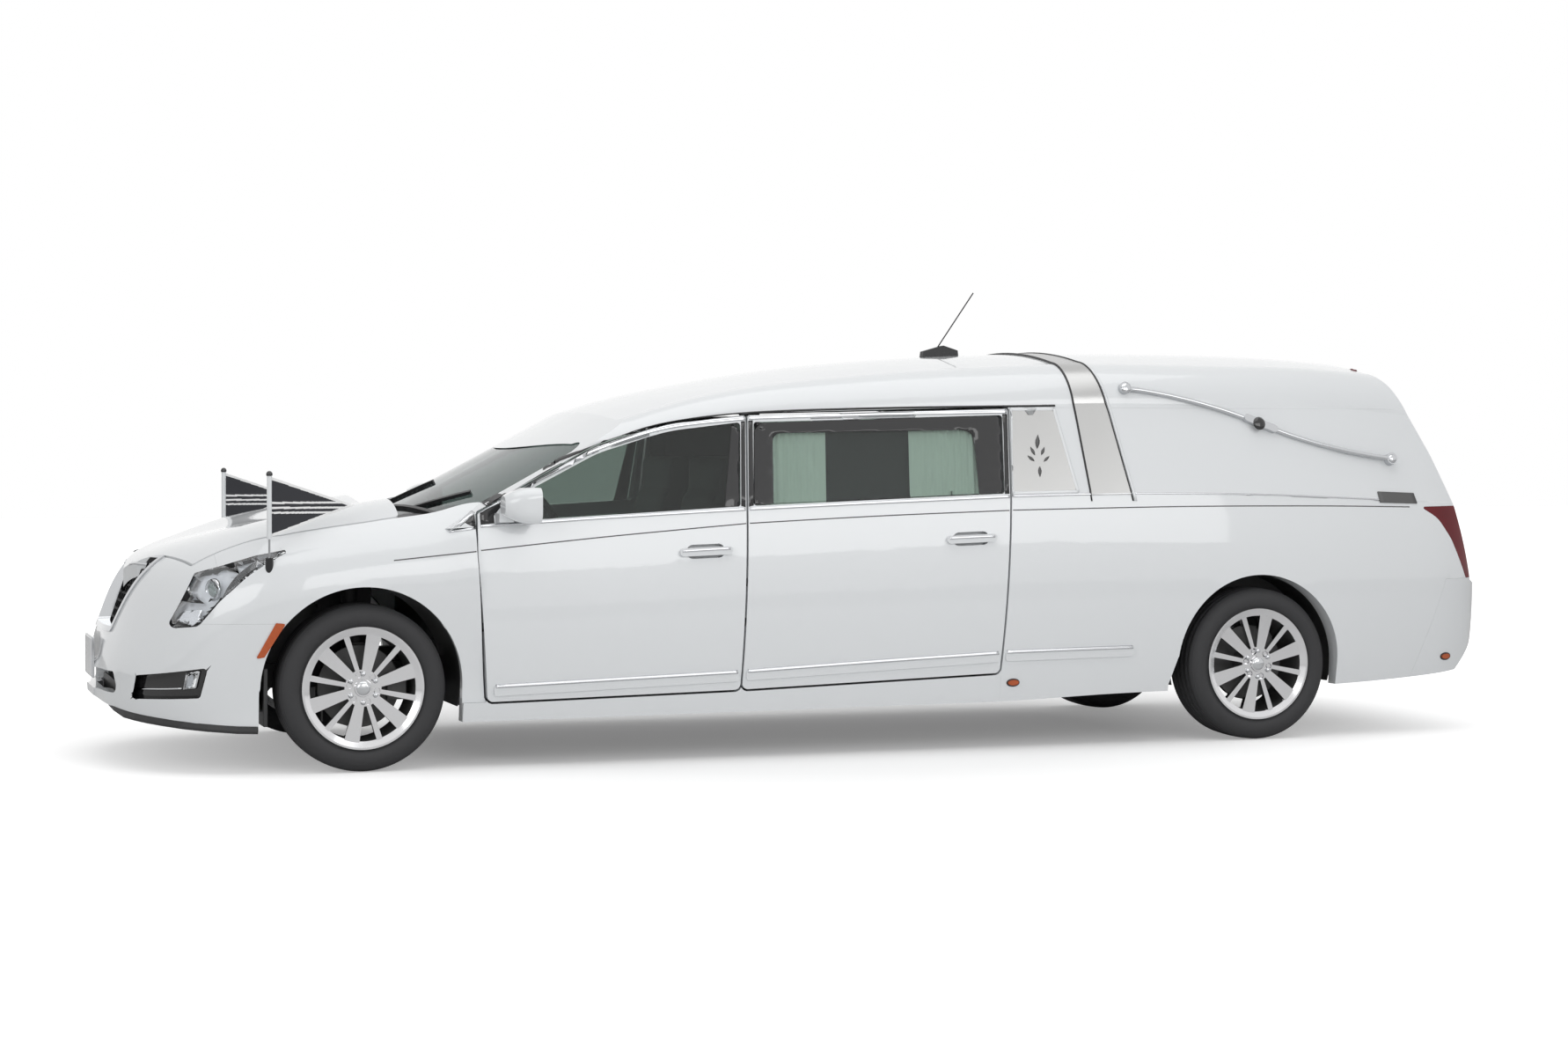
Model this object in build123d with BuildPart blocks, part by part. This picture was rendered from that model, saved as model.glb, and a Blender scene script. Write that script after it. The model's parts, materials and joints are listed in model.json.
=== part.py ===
"""A long-wheelbase hearse: bodywork, glass, cab, load deck, running gear, doors, steering and flags.

Millimetres, X aft, Y to the car's right, Z up, origin on the ground at the middle of the car.
Stations named "aft" are measured rearwards from the front axle.
"""

import os
from collections import namedtuple
from math import atan2, cos, hypot, radians, sin

from build123d import *

# Driving dimensions
FRONT_OVERHANG = 985
WHEELBASE = 3990
REAR_OVERHANG = 1200
HALF_WIDTH = 926
ROOF_Z = 1732
TRACK = 1576
DOOR_GAP = 9
SEAM = 0.4
FIT = 0.06

# Wall thicknesses
DOOR_WALL = 95
FRAME_WALL = 38
ROOF_WALL = 45
TAIL_WALL = 80
FENDER_WALL = 42
HOOD_WALL = 28
GLASS = 5
GLASS_RECESS = 4
COWL_DROP = 70
COWL_THICK = 6

# Wheels and steering
TYRE_R = 336
TYRE_WIDTH = 236
RIM_R = 245
BEAD_R = 228
BARREL_R = 213
FRONT_ARCH_R = 405
REAR_ARCH_R = 396
LINER_THICK = 5
KINGPIN_Y = 716
SPINDLE_R = 28
PIVOT_R = 12

# Floors and deck
FLOOR_Z = 232
FLOOR_THICK = 56
REAR_FLOOR_Z = 484
DECK_Z = 640
DECK_HALF = 618
ROOF_SPLIT_Z = 1470

# Windscreen: a point on its centreline, its rake and its roundness across the car
SCREEN_FOOT = (304, 1053)
SCREEN_RAKE = 27.7
SCREEN_R = 4200

# Door hinges
HINGE_PIN_R = 5
HINGE_EYE_R = 8
HINGE_Y = 905
HINGE_HEIGHTS = (570, 735)
HINGE_THICK = 24
HINGE_PIN_HALF = 46
HINGE_ARM = 150
PIN_SETBACK = 89
FRAME_LEAN = 151
DOOR_SWEEP_R = hypot(PIN_SETBACK, HINGE_Y - HALF_WIDTH + DOOR_WALL) + DOOR_GAP
FRAME_SWEEP_R = HINGE_Y - HALF_WIDTH + FRAME_LEAN + FRAME_WALL + DOOR_GAP
TAIL_SWEEP_R = 63
TAIL_LIFT = 8

FRONT_AXLE_X = FRONT_OVERHANG - (FRONT_OVERHANG + WHEELBASE + REAR_OVERHANG) / 2
REAR_AXLE_X = FRONT_AXLE_X + WHEELBASE
AXLE_Z = TYRE_R
WHEEL_Y = TRACK / 2
REACH = 1300

# Cross-sections of nose and wings: heights, and how far each corner lies in from the half width
FrontRow = namedtuple("FrontRow", "aft sill_z sill_in belly_z belly_in brow_z brow_in rail_z rail_in crown_z")
FRONT_ROWS = [
    FrontRow(-985, 275, 796, 350, 761, 395, 781, 412, 801, 424),
    FrontRow(-955, 257, 636, 362, 596, 452, 651, 480, 691, 505),
    FrontRow(-925, 245, 526, 372, 486, 508, 566, 550, 626, 595),
    FrontRow(-893, 236, 443, 381, 401, 560, 501, 622, 581, 690),
    FrontRow(-858, 229, 374, 390, 331, 605, 446, 690, 541, 775),
    FrontRow(-815, 222, 313, 399, 271, 645, 386, 745, 491, 833),
    FrontRow(-760, 215, 248, 409, 204, 682, 311, 783, 421, 868),
    FrontRow(-690, 207, 183, 423, 141, 722, 226, 812, 336, 895),
    FrontRow(-600, 199, 126, 443, 86, 768, 151, 842, 251, 920),
    FrontRow(-490, 191, 86, 467, 49, 810, 96, 874, 180, 944),
    FrontRow(-370, 187, 63, 492, 28, 842, 60, 904, 134, 967),
    FrontRow(-210, 185, 53, 529, 16, 865, 43, 932, 115, 993),
    FrontRow(-40, 185, 48, 566, 10, 883, 34, 959, 110, 1021),
    FrontRow(140, 185, 46, 599, 6, 899, 28, 984, 106, 1049),
    FrontRow(330, 186, 46, 623, 3, 917, 28, 1004, 98, 1073),
    FrontRow(520, 188, 46, 640, 1, 935, 30, 1020, 86, 1095),
]
NOSE_END = -100
NOSE_DEEP = 400

# Cross-sections of cabin and load space
CabinRow = namedtuple(
    "CabinRow", "aft sill_z sill_in belly_z belly_in belt_z belt_in drip_z drip_in rail_z rail_in crown_drop"
)
CABIN_ROWS = [
    CabinRow(40, 184, 46, 612, 6, 955, 40, 1034, 58, 1110, 130, 572),
    CabinRow(300, 186, 46, 620, 4, 968, 38, 1120, 76, 1190, 156, 507),
    CabinRow(560, 188, 46, 629, 2, 981, 38, 1206, 98, 1261, 189, 442),
    CabinRow(820, 189, 46, 638, 0, 994, 38, 1280, 116, 1331, 218, 375),
    CabinRow(1080, 191, 46, 645, 0, 1008, 38, 1343, 131, 1403, 243, 275),
    CabinRow(1360, 193, 46, 653, 0, 1023, 37, 1404, 145, 1485, 267, 196),
    CabinRow(1640, 195, 46, 660, 0, 1037, 36, 1440, 151, 1545, 286, 140),
    CabinRow(2040, 198, 46, 669, 0, 1055, 36, 1457, 151, 1595, 307, 79),
    CabinRow(2440, 200, 46, 677, 0, 1072, 36, 1467, 151, 1631, 324, 41),
    CabinRow(2840, 205, 46, 680, 0, 1083, 36, 1476, 151, 1655, 336, 17),
    CabinRow(WHEELBASE - 770, 220, 46, 680, 0, 1089, 37, 1488, 154, 1670, 344, 5),
    CabinRow(WHEELBASE - 390, 227, 46, 679, 0, 1089, 39, 1489, 157, 1672, 347, 0),
    CabinRow(WHEELBASE + 10, 229, 47, 675, 1, 1082, 40, 1485, 159, 1669, 349, 1),
    CabinRow(WHEELBASE + 310, 232, 48, 670, 2, 1075, 42, 1480, 161, 1665, 351, 7),
    CabinRow(WHEELBASE + 570, 242, 54, 664, 8, 1063, 48, 1466, 169, 1652, 359, 21),
    CabinRow(WHEELBASE + 810, 257, 67, 657, 21, 1050, 61, 1446, 183, 1630, 372, 40),
    CabinRow(WHEELBASE + 1010, 275, 96, 650, 50, 1040, 90, 1420, 211, 1600, 396, 67),
    CabinRow(WHEELBASE + 1140, 295, 166, 640, 120, 1030, 158, 1390, 276, 1560, 446, 107),
    CabinRow(WHEELBASE + REAR_OVERHANG, 310, 286, 630, 236, 1020, 276, 1370, 386, 1530, 546, 142),
]

# Rear outline seen from the side: aft of the rear axle, height, corner radius
TAIL_OUTLINE = [
    (590, 1800, 0),
    (655, 1712, 60),
    (770, 1600, 300),
    (940, 1260, 900),
    (1040, 1016, 0),
    (1128, 690, 0),
    (REAR_OVERHANG - 20, 668, 14),
    (REAR_OVERHANG, 590, 60),
    (REAR_OVERHANG - 40, 400, 120),
    (1030, 262, 60),
    (900, 150, 0),
    (-4700, 150, 0),
    (-4700, 1800, 0),
]

# Shut lines between the side doors, as aft and height at the top, the belt and the foot
B_LINE = [(1643, 1432), (1611, 1036), (1580, 288)]
C_LINE = [(2838, 1464), (2804, 1083), (2748, 328)]
HALF_GAP = DOOR_GAP / 2

# Side-view outlines: aft, height, corner radius
FRONT_DOOR = [
    (505, 266, 25),
    (464, 860, 600),
    (468, 1028, 12),
    (985, 1302, 500),
    (1290, 1394, 900),
    (B_LINE[0][0] - HALF_GAP, B_LINE[0][1], 10),
    (B_LINE[1][0] - HALF_GAP, B_LINE[1][1], 800),
    (B_LINE[2][0] - HALF_GAP, B_LINE[2][1], 25),
]
REAR_DOOR = [
    (B_LINE[2][0] + HALF_GAP, B_LINE[2][1], 25),
    (B_LINE[1][0] + HALF_GAP, B_LINE[1][1], 800),
    (B_LINE[0][0] + HALF_GAP, B_LINE[0][1], 10),
    (C_LINE[0][0] - HALF_GAP, C_LINE[0][1], 10),
    (C_LINE[1][0] - HALF_GAP, C_LINE[1][1], 800),
    (C_LINE[2][0] - HALF_GAP, C_LINE[2][1], 25),
]
FRONT_WINDOW = [
    (602, 996, 12),
    (600, 1078, 12),
    (985, 1272, 500),
    (1290, 1364, 900),
    (B_LINE[0][0] - 30, B_LINE[0][1] - 30, 14),
    (B_LINE[1][0] - 28, B_LINE[1][1] + 14, 14),
]
REAR_WINDOW = [
    (B_LINE[1][0] + 28, B_LINE[1][1] + 16, 14),
    (B_LINE[0][0] + 28, B_LINE[0][1] - 29, 14),
    (C_LINE[0][0] - 32, C_LINE[0][1] - 28, 14),
    (C_LINE[1][0] - 28, C_LINE[1][1] + 14, 14),
]
BELT = [(200, 962), (455, 974), (1609, 1037), (2795, 1083), (3280, 1094), (3990, 1086), (4768, 1052), (5400, 1030)]
BUMPER = [
    (-1200, 60, 0),
    (-300, 60, 0),
    (-300, 600, 0),
    (-660, 600, 0),
    (-560, 790, 0),
    (-560, 1000, 0),
    (-1200, 1000, 0),
]
HEADLAMP = [
    (-752, 578, 18),
    (-640, 590, 30),
    (-560, 690, 200),
    (-440, 800, 400),
    (-272, 896, 6),
    (-420, 866, 300),
    (-640, 796, 20),
]
SILL = [(406, 60, 0), (C_LINE[2][0] + HALF_GAP, 60, 0), (C_LINE[2][0] + HALF_GAP, 345, 0), (520, 330, 0), (500, 264, 0), (406, 264, 0)]
REAR_BUMPER = [(4700, 60, 0), (5400, 60, 0), (5400, 698, 0), (4950, 698, 0)]
TAIL_LAMP = [(4830, 1026, 6), (5200, 1032, 0), (5200, 700, 0), (5080, 700, 8), (4990, 880, 200), (4920, 975, 150)]
FRONT_MOULD = [(530, 290, 12), (1566, 324, 12), (1566, 366, 12), (530, 332, 12)]
REAR_MOULD = [(1600, 326, 12), (2738, 376, 12), (2738, 418, 12), (1600, 368, 12)]
QUARTER_MOULD = [(2768, 378, 12), (3372, 386, 12), (3372, 428, 12), (2768, 420, 12)]
CURTAIN_GAP = (B_LINE[1][0] + 360, C_LINE[1][0] - 460)
SIDE_PANEL = [(2852, 1456, 10), (3046, 1458, 10), (3112, 1108, 10), (2816, 1102, 10)]
ROOF_BAND = [(3180, 1090, 0), (3375, 1092, 0), (3312, 1450, 900), (3236, 1800, 0), (3112, 1800, 0), (3152, 1450, 900)]
HOOD_PLAN = [(-850, 0), (-815, 200), (-722, 415), (-640, 640), (-300, 752), (40, 775), (165, 775), (165, 0)]
GRILLE_FACE = [(-430, 870, 10), (430, 870, 10), (415, 800, 40), (300, 545, 30), (-300, 545, 30), (-415, 800, 40)]
INTAKE_FACE = [(-420, 392, 20), (420, 392, 20), (470, 306, 30), (-470, 306, 30)]
FOG_RECESS = [(-872, 292, 10), (-858, 388, 10), (-604, 428, 14), (-632, 306, 14)]
FOG_DEPTH = 24
TAIL_DOOR_TOP = 1598
TAIL_DOOR_LEFT = [(-560, TAIL_DOOR_TOP, 90), (-655, 1050, 300), (-612, 702, 25)]
TAIL_DOOR = [(-y, z, r) for y, z, r in reversed(TAIL_DOOR_LEFT)] + TAIL_DOOR_LEFT
TAIL_LEAF = [(y, min(z, TAIL_DOOR_TOP - TAIL_LIFT), r) for y, z, r in TAIL_DOOR]
TAIL_WINDOW = [(-540, 1100, 40), (540, 1100, 40), (455, 1530, 60), (-455, 1530, 60)]
TAIL_TAPER = 8


def station(aft):
    """Frame x of a place measured aft of the front axle."""
    return aft + FRONT_AXLE_X


def section_plane(aft):
    """Cross-section plane facing aft: sketch x is the car's y and sketch y is height."""
    return Plane(origin=(station(aft), 0, 0), x_dir=(0, 1, 0), z_dir=(1, 0, 0))


def far_side(point):
    """The same section point on the other side of the centreline."""
    return (-point[0], point[1])


def front_body(inset=0.0, floor_drop=0.0):
    """Nose, wings and bonnet as one smooth solid, drawn in from its skin by inset."""
    with BuildPart() as body:
        for row in FRONT_ROWS:
            drop = inset * min(1, (row.crown_z - row.sill_z) / NOSE_DEEP)
            half = HALF_WIDTH - drop
            skin = [
                (half - row.sill_in, row.sill_z - floor_drop),
                (half - row.belly_in, row.belly_z - 0.3 * floor_drop),
                (half - row.brow_in, row.brow_z - 0.8 * drop),
                (half - row.rail_in, row.rail_z - drop),
            ]
            ease = max(0, (NOSE_END - row.aft) / (NOSE_END - FRONT_ROWS[0].aft))
            with BuildSketch(section_plane(row.aft + inset * ease)):
                with BuildLine():
                    Spline(*skin, (0, row.crown_z - drop), *[far_side(point) for point in reversed(skin)])
                    Line(far_side(skin[0]), skin[0])
                make_face()
        loft()
    return body.part


def cabin_body(lower_in=0.0, upper_in=0.0, roof_in=0.0, floor_drop=0.0):
    """Cabin and load space as one smooth solid; walls, window frames and roof are drawn in by their own amounts."""
    with BuildPart() as body:
        for row in CABIN_ROWS:
            low = (HALF_WIDTH - row.sill_in - lower_in, row.sill_z - floor_drop)
            belly = (HALF_WIDTH - row.belly_in - lower_in, row.belly_z)
            belt = (HALF_WIDTH - row.belt_in - lower_in, row.belt_z)
            drip = (HALF_WIDTH - row.drip_in - upper_in, row.drip_z - 0.4 * roof_in)
            rail = (HALF_WIDTH - row.rail_in - 0.7 * upper_in, row.rail_z - roof_in)
            crown = (0, ROOF_Z - row.crown_drop - roof_in)
            roll = (drip[0] - 0.33 * (drip[0] - rail[0]), rail[1] - 0.3 * (rail[1] - drip[1]))
            with BuildSketch(section_plane(row.aft)):
                with BuildLine():
                    Line(far_side(low), low)
                    ThreePointArc(low, belly, belt)
                    Line(belt, drip)
                    ThreePointArc(drip, roll, rail)
                    ThreePointArc(rail, crown, far_side(rail))
                    ThreePointArc(far_side(rail), far_side(roll), far_side(drip))
                    Line(far_side(drip), far_side(belt))
                    ThreePointArc(far_side(belt), far_side(belly), far_side(low))
                make_face()
        loft()
    return body.part


def even_inset(depth):
    """Cabin solid drawn in by the same depth all round."""
    return cabin_body(depth, depth, depth)


def screen_drum(depth=0.0):
    """Everything behind the curved windscreen, depth below its outer face: a drum lying along the rake."""
    lean = radians(SCREEN_RAKE)
    axis_point = (station(SCREEN_FOOT[0]) + SCREEN_R * sin(lean), 0, SCREEN_FOOT[1] - SCREEN_R * cos(lean))
    rake_line = Plane(origin=axis_point, x_dir=(0, 1, 0), z_dir=(cos(lean), 0, sin(lean)))
    with BuildPart() as drum:
        with BuildSketch(rake_line):
            Circle(SCREEN_R - depth)
        extrude(amount=2 * (WHEELBASE + FRONT_OVERHANG), both=True)
    return drum.part


def outline_block(plane, points, radii, amount, grow=0.0, both=False, taper=0.0):
    """Block raised from a closed outline with rounded corners, grown all round by grow."""
    with BuildPart() as block:
        with BuildSketch(plane):
            with BuildLine():
                FilletPolyline(*points, radius=radii, close=True)
            make_face()
            if grow:
                offset(amount=grow, kind=Kind.INTERSECTION)
        extrude(amount=amount, both=both, taper=taper)
    return block.part


def tail_bound(forward=0.0):
    """Everything ahead of the tail's side outline, moved forward by forward."""
    points = [(REAR_AXLE_X + aft - forward, z) for aft, z, _ in TAIL_OUTLINE]
    return outline_block(Plane.XZ, points, [r for _, _, r in TAIL_OUTLINE], REACH, both=True)


def left_prism(outline, grow=0.0):
    """Left-hand block inside a side-view outline, grown all round by grow."""
    points = [(station(aft), z) for aft, z, _ in outline]
    return outline_block(Plane.XZ, points, [r for _, _, r in outline], REACH, grow)


def cross_prism(outline, grow=0.0):
    """Block across the whole car inside a side-view outline, grown all round by grow."""
    points = [(station(aft), z) for aft, z, _ in outline]
    return outline_block(Plane.XZ, points, [r for _, _, r in outline], REACH, grow, both=True)


def facing_prism(outline, aft_start, length, taper=0.0, grow=0.0):
    """Block inside an outline seen from behind, from aft_start forwards, narrowing by taper degrees."""
    plane = Plane(origin=(station(aft_start), 0, 0), x_dir=(0, -1, 0), z_dir=(-1, 0, 0))
    points = [(-y, z) for y, z, _ in outline]
    return outline_block(plane, points, [r for _, _, r in outline], length, grow, taper=taper)


def hood_prism(grow=0.0):
    """Upright block inside the bonnet's plan outline, grown all round by grow."""
    with BuildPart() as prism:
        with BuildSketch(Plane.XY.offset(DECK_Z)):
            with BuildLine():
                right = [(station(aft), y) for aft, y in HOOD_PLAN]
                left = [(x, -y) for x, y in reversed(right) if y]
                Polyline(*right, *left, close=True)
            make_face()
            fillet(vertices(), radius=18)
            if grow:
                offset(amount=grow, kind=Kind.INTERSECTION)
        extrude(amount=REACH)
    return prism.part


def box_at(aft_range, y_range, z_range):
    """Plain block between stations, sides and heights."""
    with BuildPart() as block:
        with BuildSketch(Plane.XY.offset(z_range[0])):
            with BuildLine():
                corners = [(station(a), y) for a, y in zip(aft_range + aft_range[::-1], sorted(y_range * 2))]
                Polyline(*corners, close=True)
            make_face()
        extrude(amount=z_range[1] - z_range[0])
    return block.part


def post_at(x, y, radius, z_range):
    """Upright round post."""
    with BuildPart() as post:
        with BuildSketch(Plane.XY.offset(z_range[0])):
            with Locations((x, y)):
                Circle(radius)
        extrude(amount=z_range[1] - z_range[0])
    return post.part


def cut_from(base, keep=(), cut=(), join=()):
    """The part of base inside every keep block and outside every cut block, with the join blocks added."""
    with BuildPart() as piece:
        add(base)
        for block in keep:
            add(block, mode=Mode.INTERSECT)
        for block in cut:
            add(block, mode=Mode.SUBTRACT)
        for block in join:
            add(block)
    return piece.part


def arch_cut(aft, radius, flare):
    """Wheel opening right across the car: a round arch whose feet run straight down, flared in front."""
    x = station(aft)
    with BuildPart() as opening:
        with BuildSketch(Plane.XZ):
            with Locations((x, AXLE_Z)):
                Circle(radius)
            with BuildLine():
                Polyline(
                    (x - radius, AXLE_Z + flare),
                    (x - radius - flare, AXLE_Z - 2 * flare),
                    (x - radius - flare, 0),
                    (x + radius, 0),
                    (x + radius, AXLE_Z),
                    close=True,
                )
            make_face()
        extrude(amount=REACH, both=True)
    return opening.part


def belt_prism(grow=0.0):
    """Everything above the belt line right across the car."""
    rows = [(aft, z - grow, 0) for aft, z in BELT]
    return cross_prism(rows + [(BELT[-1][0], 2 * ROOF_Z, 0), (BELT[0][0], 2 * ROOF_Z, 0)])


def hinge_cut(pin_x, low, high):
    """Room in a left door for a hinge arm between two heights, open to the door's front edge and inner face."""
    with BuildPart() as room:
        with BuildSketch(Plane.XY.offset(low)):
            with BuildLine():
                Polyline(
                    (pin_x + HINGE_EYE_R + 6, -HINGE_Y - HINGE_EYE_R - 2),
                    (pin_x - 300, -HINGE_Y - HINGE_EYE_R - 2),
                    (pin_x - 300, -HINGE_Y + 300),
                    (pin_x + HINGE_EYE_R + 6, -HINGE_Y + 300),
                    close=True,
                )
            make_face()
        extrude(amount=high - low)
    return room.part


# Master solids that the panels are cut from
CABIN = cut_from(cabin_body(), keep=[screen_drum(), tail_bound()])
SHELL = cut_from(CABIN, cut=[cut_from(cabin_body(DOOR_WALL, FRAME_WALL, ROOF_WALL, FLOOR_Z), keep=[tail_bound(TAIL_WALL)])])
ROOM = cut_from(
    cabin_body(DOOR_WALL + DOOR_GAP, FRAME_WALL + DOOR_GAP, ROOF_WALL + SEAM, FLOOR_Z),
    keep=[tail_bound(TAIL_WALL + DOOR_GAP)],
)
INSIDE = cabin_body(DOOR_WALL + SEAM, FRAME_WALL + SEAM, ROOF_WALL + SEAM, FLOOR_Z)
PANE_OUT, PANE_IN = even_inset(GLASS_RECESS), even_inset(GLASS_RECESS + GLASS)
NOSE = front_body()
NOSE_ROOM = front_body(-SEAM)
COWL_SKIN = front_body(COWL_DROP, FLOOR_Z)
COWL_ROOM = front_body(COWL_DROP - SEAM, FLOOR_Z)
WING = cut_from(NOSE, cut=[front_body(FENDER_WALL, FLOOR_Z)])
FRONT_ARCH = arch_cut(0, FRONT_ARCH_R, 4)
REAR_ARCH = arch_cut(WHEELBASE, REAR_ARCH_R, 40)
COWL_HALF = HOOD_PLAN[-2][1]
COWL_WELL = box_at((HOOD_PLAN[-1][0] - 80, 700), (-COWL_HALF - DOOR_GAP, COWL_HALF + DOOR_GAP), (DECK_Z, ROOF_Z))
TAIL_DOOR_ROOM = facing_prism(TAIL_DOOR, 5200, 700, TAIL_TAPER, DOOR_GAP)

BEAD_OUT, BEAD_IN = even_inset(-9), even_inset(6)
SKIN_ROOM = even_inset(-SEAM)
FRONT_PIN_AFT = FRONT_DOOR[1][0] + 85
REAR_PIN_AFT = B_LINE[1][0] + 62
FRONT_PIN_X = station(FRONT_PIN_AFT)
REAR_PIN_X = station(REAR_PIN_AFT)
COWL_TOP = 1010
HOOD_REAR = HOOD_PLAN[-1][0]
HOOD_HINGE_Y = 640
HOOD_HINGE_Z = 1000
TAIL_FOOT, TAIL_HEAD = TAIL_OUTLINE[5], TAIL_OUTLINE[4]
TAIL_LEAN = atan2(TAIL_FOOT[0] - TAIL_HEAD[0], TAIL_HEAD[1] - TAIL_FOOT[1])
TAIL_HINGE_Y = 562
TAIL_HINGE_DEPTH = 14
TAIL_HINGE_SPAN = (80, 255)
TAIL_ARM = 150
TAIL_HINGE = Plane(
    origin=(
        REAR_AXLE_X + TAIL_FOOT[0] - TAIL_HINGE_DEPTH * cos(TAIL_LEAN),
        -TAIL_HINGE_Y,
        TAIL_FOOT[1] - TAIL_HINGE_DEPTH * sin(TAIL_LEAN),
    ),
    x_dir=(cos(TAIL_LEAN), 0, sin(TAIL_LEAN)),
    z_dir=(-sin(TAIL_LEAN), 0, cos(TAIL_LEAN)),
)

with BuildPart() as tail_sweep:
    with BuildSketch(TAIL_HINGE.offset(-TAIL_SWEEP_R / 2)):
        Circle(TAIL_SWEEP_R)
    extrude(amount=2 * TAIL_SWEEP_R)

os.makedirs("parts", exist_ok=True)

# Front bodywork
with BuildPart() as front_fenders:
    add(WING)
    add(box_at((-780, 500), (-REACH, 0), (60, ROOF_Z)), mode=Mode.INTERSECT)
    for block in (
        left_prism(BUMPER, SEAM),
        left_prism(HEADLAMP, SEAM),
        left_prism(SILL, SEAM),
        left_prism(FRONT_DOOR, DOOR_GAP),
        hood_prism(DOOR_GAP),
        FRONT_ARCH,
        COWL_WELL,
    ):
        add(block, mode=Mode.SUBTRACT)
    mirror(about=Plane.XZ)
front_fenders.part.label = "front_fenders"
export_step(front_fenders.part, "parts/front_fenders.step")

with BuildPart() as front_bumper:
    add(WING)
    add(cross_prism(BUMPER), mode=Mode.INTERSECT)
    for block in (
        cross_prism(HEADLAMP, SEAM),
        hood_prism(DOOR_GAP),
        FRONT_ARCH,
        facing_prism(GRILLE_FACE, -600, 600),
        facing_prism(INTAKE_FACE, -600, 600),
        cut_from(cross_prism(FOG_RECESS), cut=[front_body(FOG_DEPTH)]),
    ):
        add(block, mode=Mode.SUBTRACT)
front_bumper.part.label = "front_bumper"
export_step(front_bumper.part, "parts/front_bumper.step")

with BuildPart() as headlamps:
    add(WING)
    add(left_prism(HEADLAMP), mode=Mode.INTERSECT)
    add(hood_prism(DOOR_GAP), mode=Mode.SUBTRACT)
    mirror(about=Plane.XZ)
headlamps.part.label = "headlamps"
export_step(headlamps.part, "parts/headlamps.step")

with BuildPart() as hood:
    add(NOSE)
    add(front_body(HOOD_WALL, FLOOR_Z), mode=Mode.SUBTRACT)
    add(hood_prism(), mode=Mode.INTERSECT)
    for side in (-1, 1):
        y = side * HOOD_HINGE_Y
        boss = box_at((HOOD_REAR - 24, HOOD_REAR + 10), (y - 16, y + 16), (HOOD_HINGE_Z - 4, HOOD_HINGE_Z + 60))
        add(cut_from(boss, keep=[front_body(HOOD_WALL / 2)]))
        with BuildSketch(Plane(origin=(station(HOOD_REAR + 10), y - 16, HOOD_HINGE_Z), z_dir=(0, 1, 0))):
            Circle(13)
        extrude(amount=32)
        with BuildSketch(Plane(origin=(station(HOOD_REAR + 10), y - 20, HOOD_HINGE_Z), z_dir=(0, 1, 0))):
            Circle(HINGE_PIN_R + FIT)
        extrude(amount=40, mode=Mode.SUBTRACT)
hood.part.label = "hood"
export_step(hood.part, "parts/hood.step")

# Side doors
HANDLE_W = HALF_WIDTH - 13
MIRROR_Y = 985
MIRROR_Z = 1062

with BuildPart() as mirror_left:
    for aft, wide, tall, corner in ((548, 96, 76, 34), (600, 158, 128, 46), (692, 168, 142, 40)):
        with BuildSketch(section_plane(aft)):
            with Locations((-MIRROR_Y, MIRROR_Z)):
                RectangleRounded(wide, tall, corner)
    loft()
    with BuildSketch(section_plane(692)):
        with Locations((-MIRROR_Y, MIRROR_Z)):
            RectangleRounded(150, 124, 34)
    extrude(amount=-12, mode=Mode.SUBTRACT)
    add(box_at((538, 597), (-MIRROR_Y + 20, -860), (994, 1030)))

with BuildPart() as door_front_left:
    add(SHELL)
    add(cut_from(left_prism(FRONT_MOULD), keep=[BEAD_OUT], cut=[BEAD_IN]))
    add(left_prism(FRONT_DOOR), mode=Mode.INTERSECT)
    add(left_prism(FRONT_WINDOW), mode=Mode.SUBTRACT)
    with BuildSketch(Plane.XZ.offset(HANDLE_W - 30)):
        with Locations((station(1422), 866)):
            SlotOverall(168, 58, 2)
    extrude(amount=REACH, mode=Mode.SUBTRACT)
    with BuildSketch(Plane.XZ.offset(HANDLE_W - 14)):
        with Locations((station(1422), 866)):
            SlotOverall(228, 34, 2)
    extrude(amount=32)
    for height in HINGE_HEIGHTS:
        add(hinge_cut(FRONT_PIN_X, height - HINGE_THICK / 2 - 5, height + HINGE_THICK / 2 + 5), mode=Mode.SUBTRACT)
        bore = (height - HINGE_PIN_HALF - 4, height + HINGE_PIN_HALF + 4)
        add(post_at(FRONT_PIN_X, -HINGE_Y, HINGE_PIN_R + FIT, bore), mode=Mode.SUBTRACT)
    add(mirror_left.part)
door_front_left.part.label = "door_front_left"
export_step(door_front_left.part, "parts/door_front_left.step")

with BuildPart() as door_front_right:
    add(mirror(door_front_left.part, about=Plane.XZ, mode=Mode.PRIVATE))
door_front_right.part.label = "door_front_right"
export_step(door_front_right.part, "parts/door_front_right.step")

with BuildPart() as door_rear_left:
    add(SHELL)
    add(cut_from(left_prism(REAR_MOULD), keep=[BEAD_OUT], cut=[BEAD_IN]))
    add(left_prism(REAR_DOOR), mode=Mode.INTERSECT)
    add(left_prism(REAR_WINDOW), mode=Mode.SUBTRACT)
    with BuildSketch(Plane.XZ.offset(HANDLE_W - 30)):
        with Locations((station(2608), 906)):
            SlotOverall(168, 58, 2)
    extrude(amount=REACH, mode=Mode.SUBTRACT)
    with BuildSketch(Plane.XZ.offset(HANDLE_W - 14)):
        with Locations((station(2608), 906)):
            SlotOverall(228, 34, 2)
    extrude(amount=32)
    for height in HINGE_HEIGHTS:
        add(hinge_cut(REAR_PIN_X, height - HINGE_THICK / 2 - 5, height + HINGE_THICK / 2 + 5), mode=Mode.SUBTRACT)
        bore = (height - HINGE_PIN_HALF - 4, height + HINGE_PIN_HALF + 4)
        add(post_at(REAR_PIN_X, -HINGE_Y, HINGE_PIN_R + FIT, bore), mode=Mode.SUBTRACT)
door_rear_left.part.label = "door_rear_left"
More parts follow.
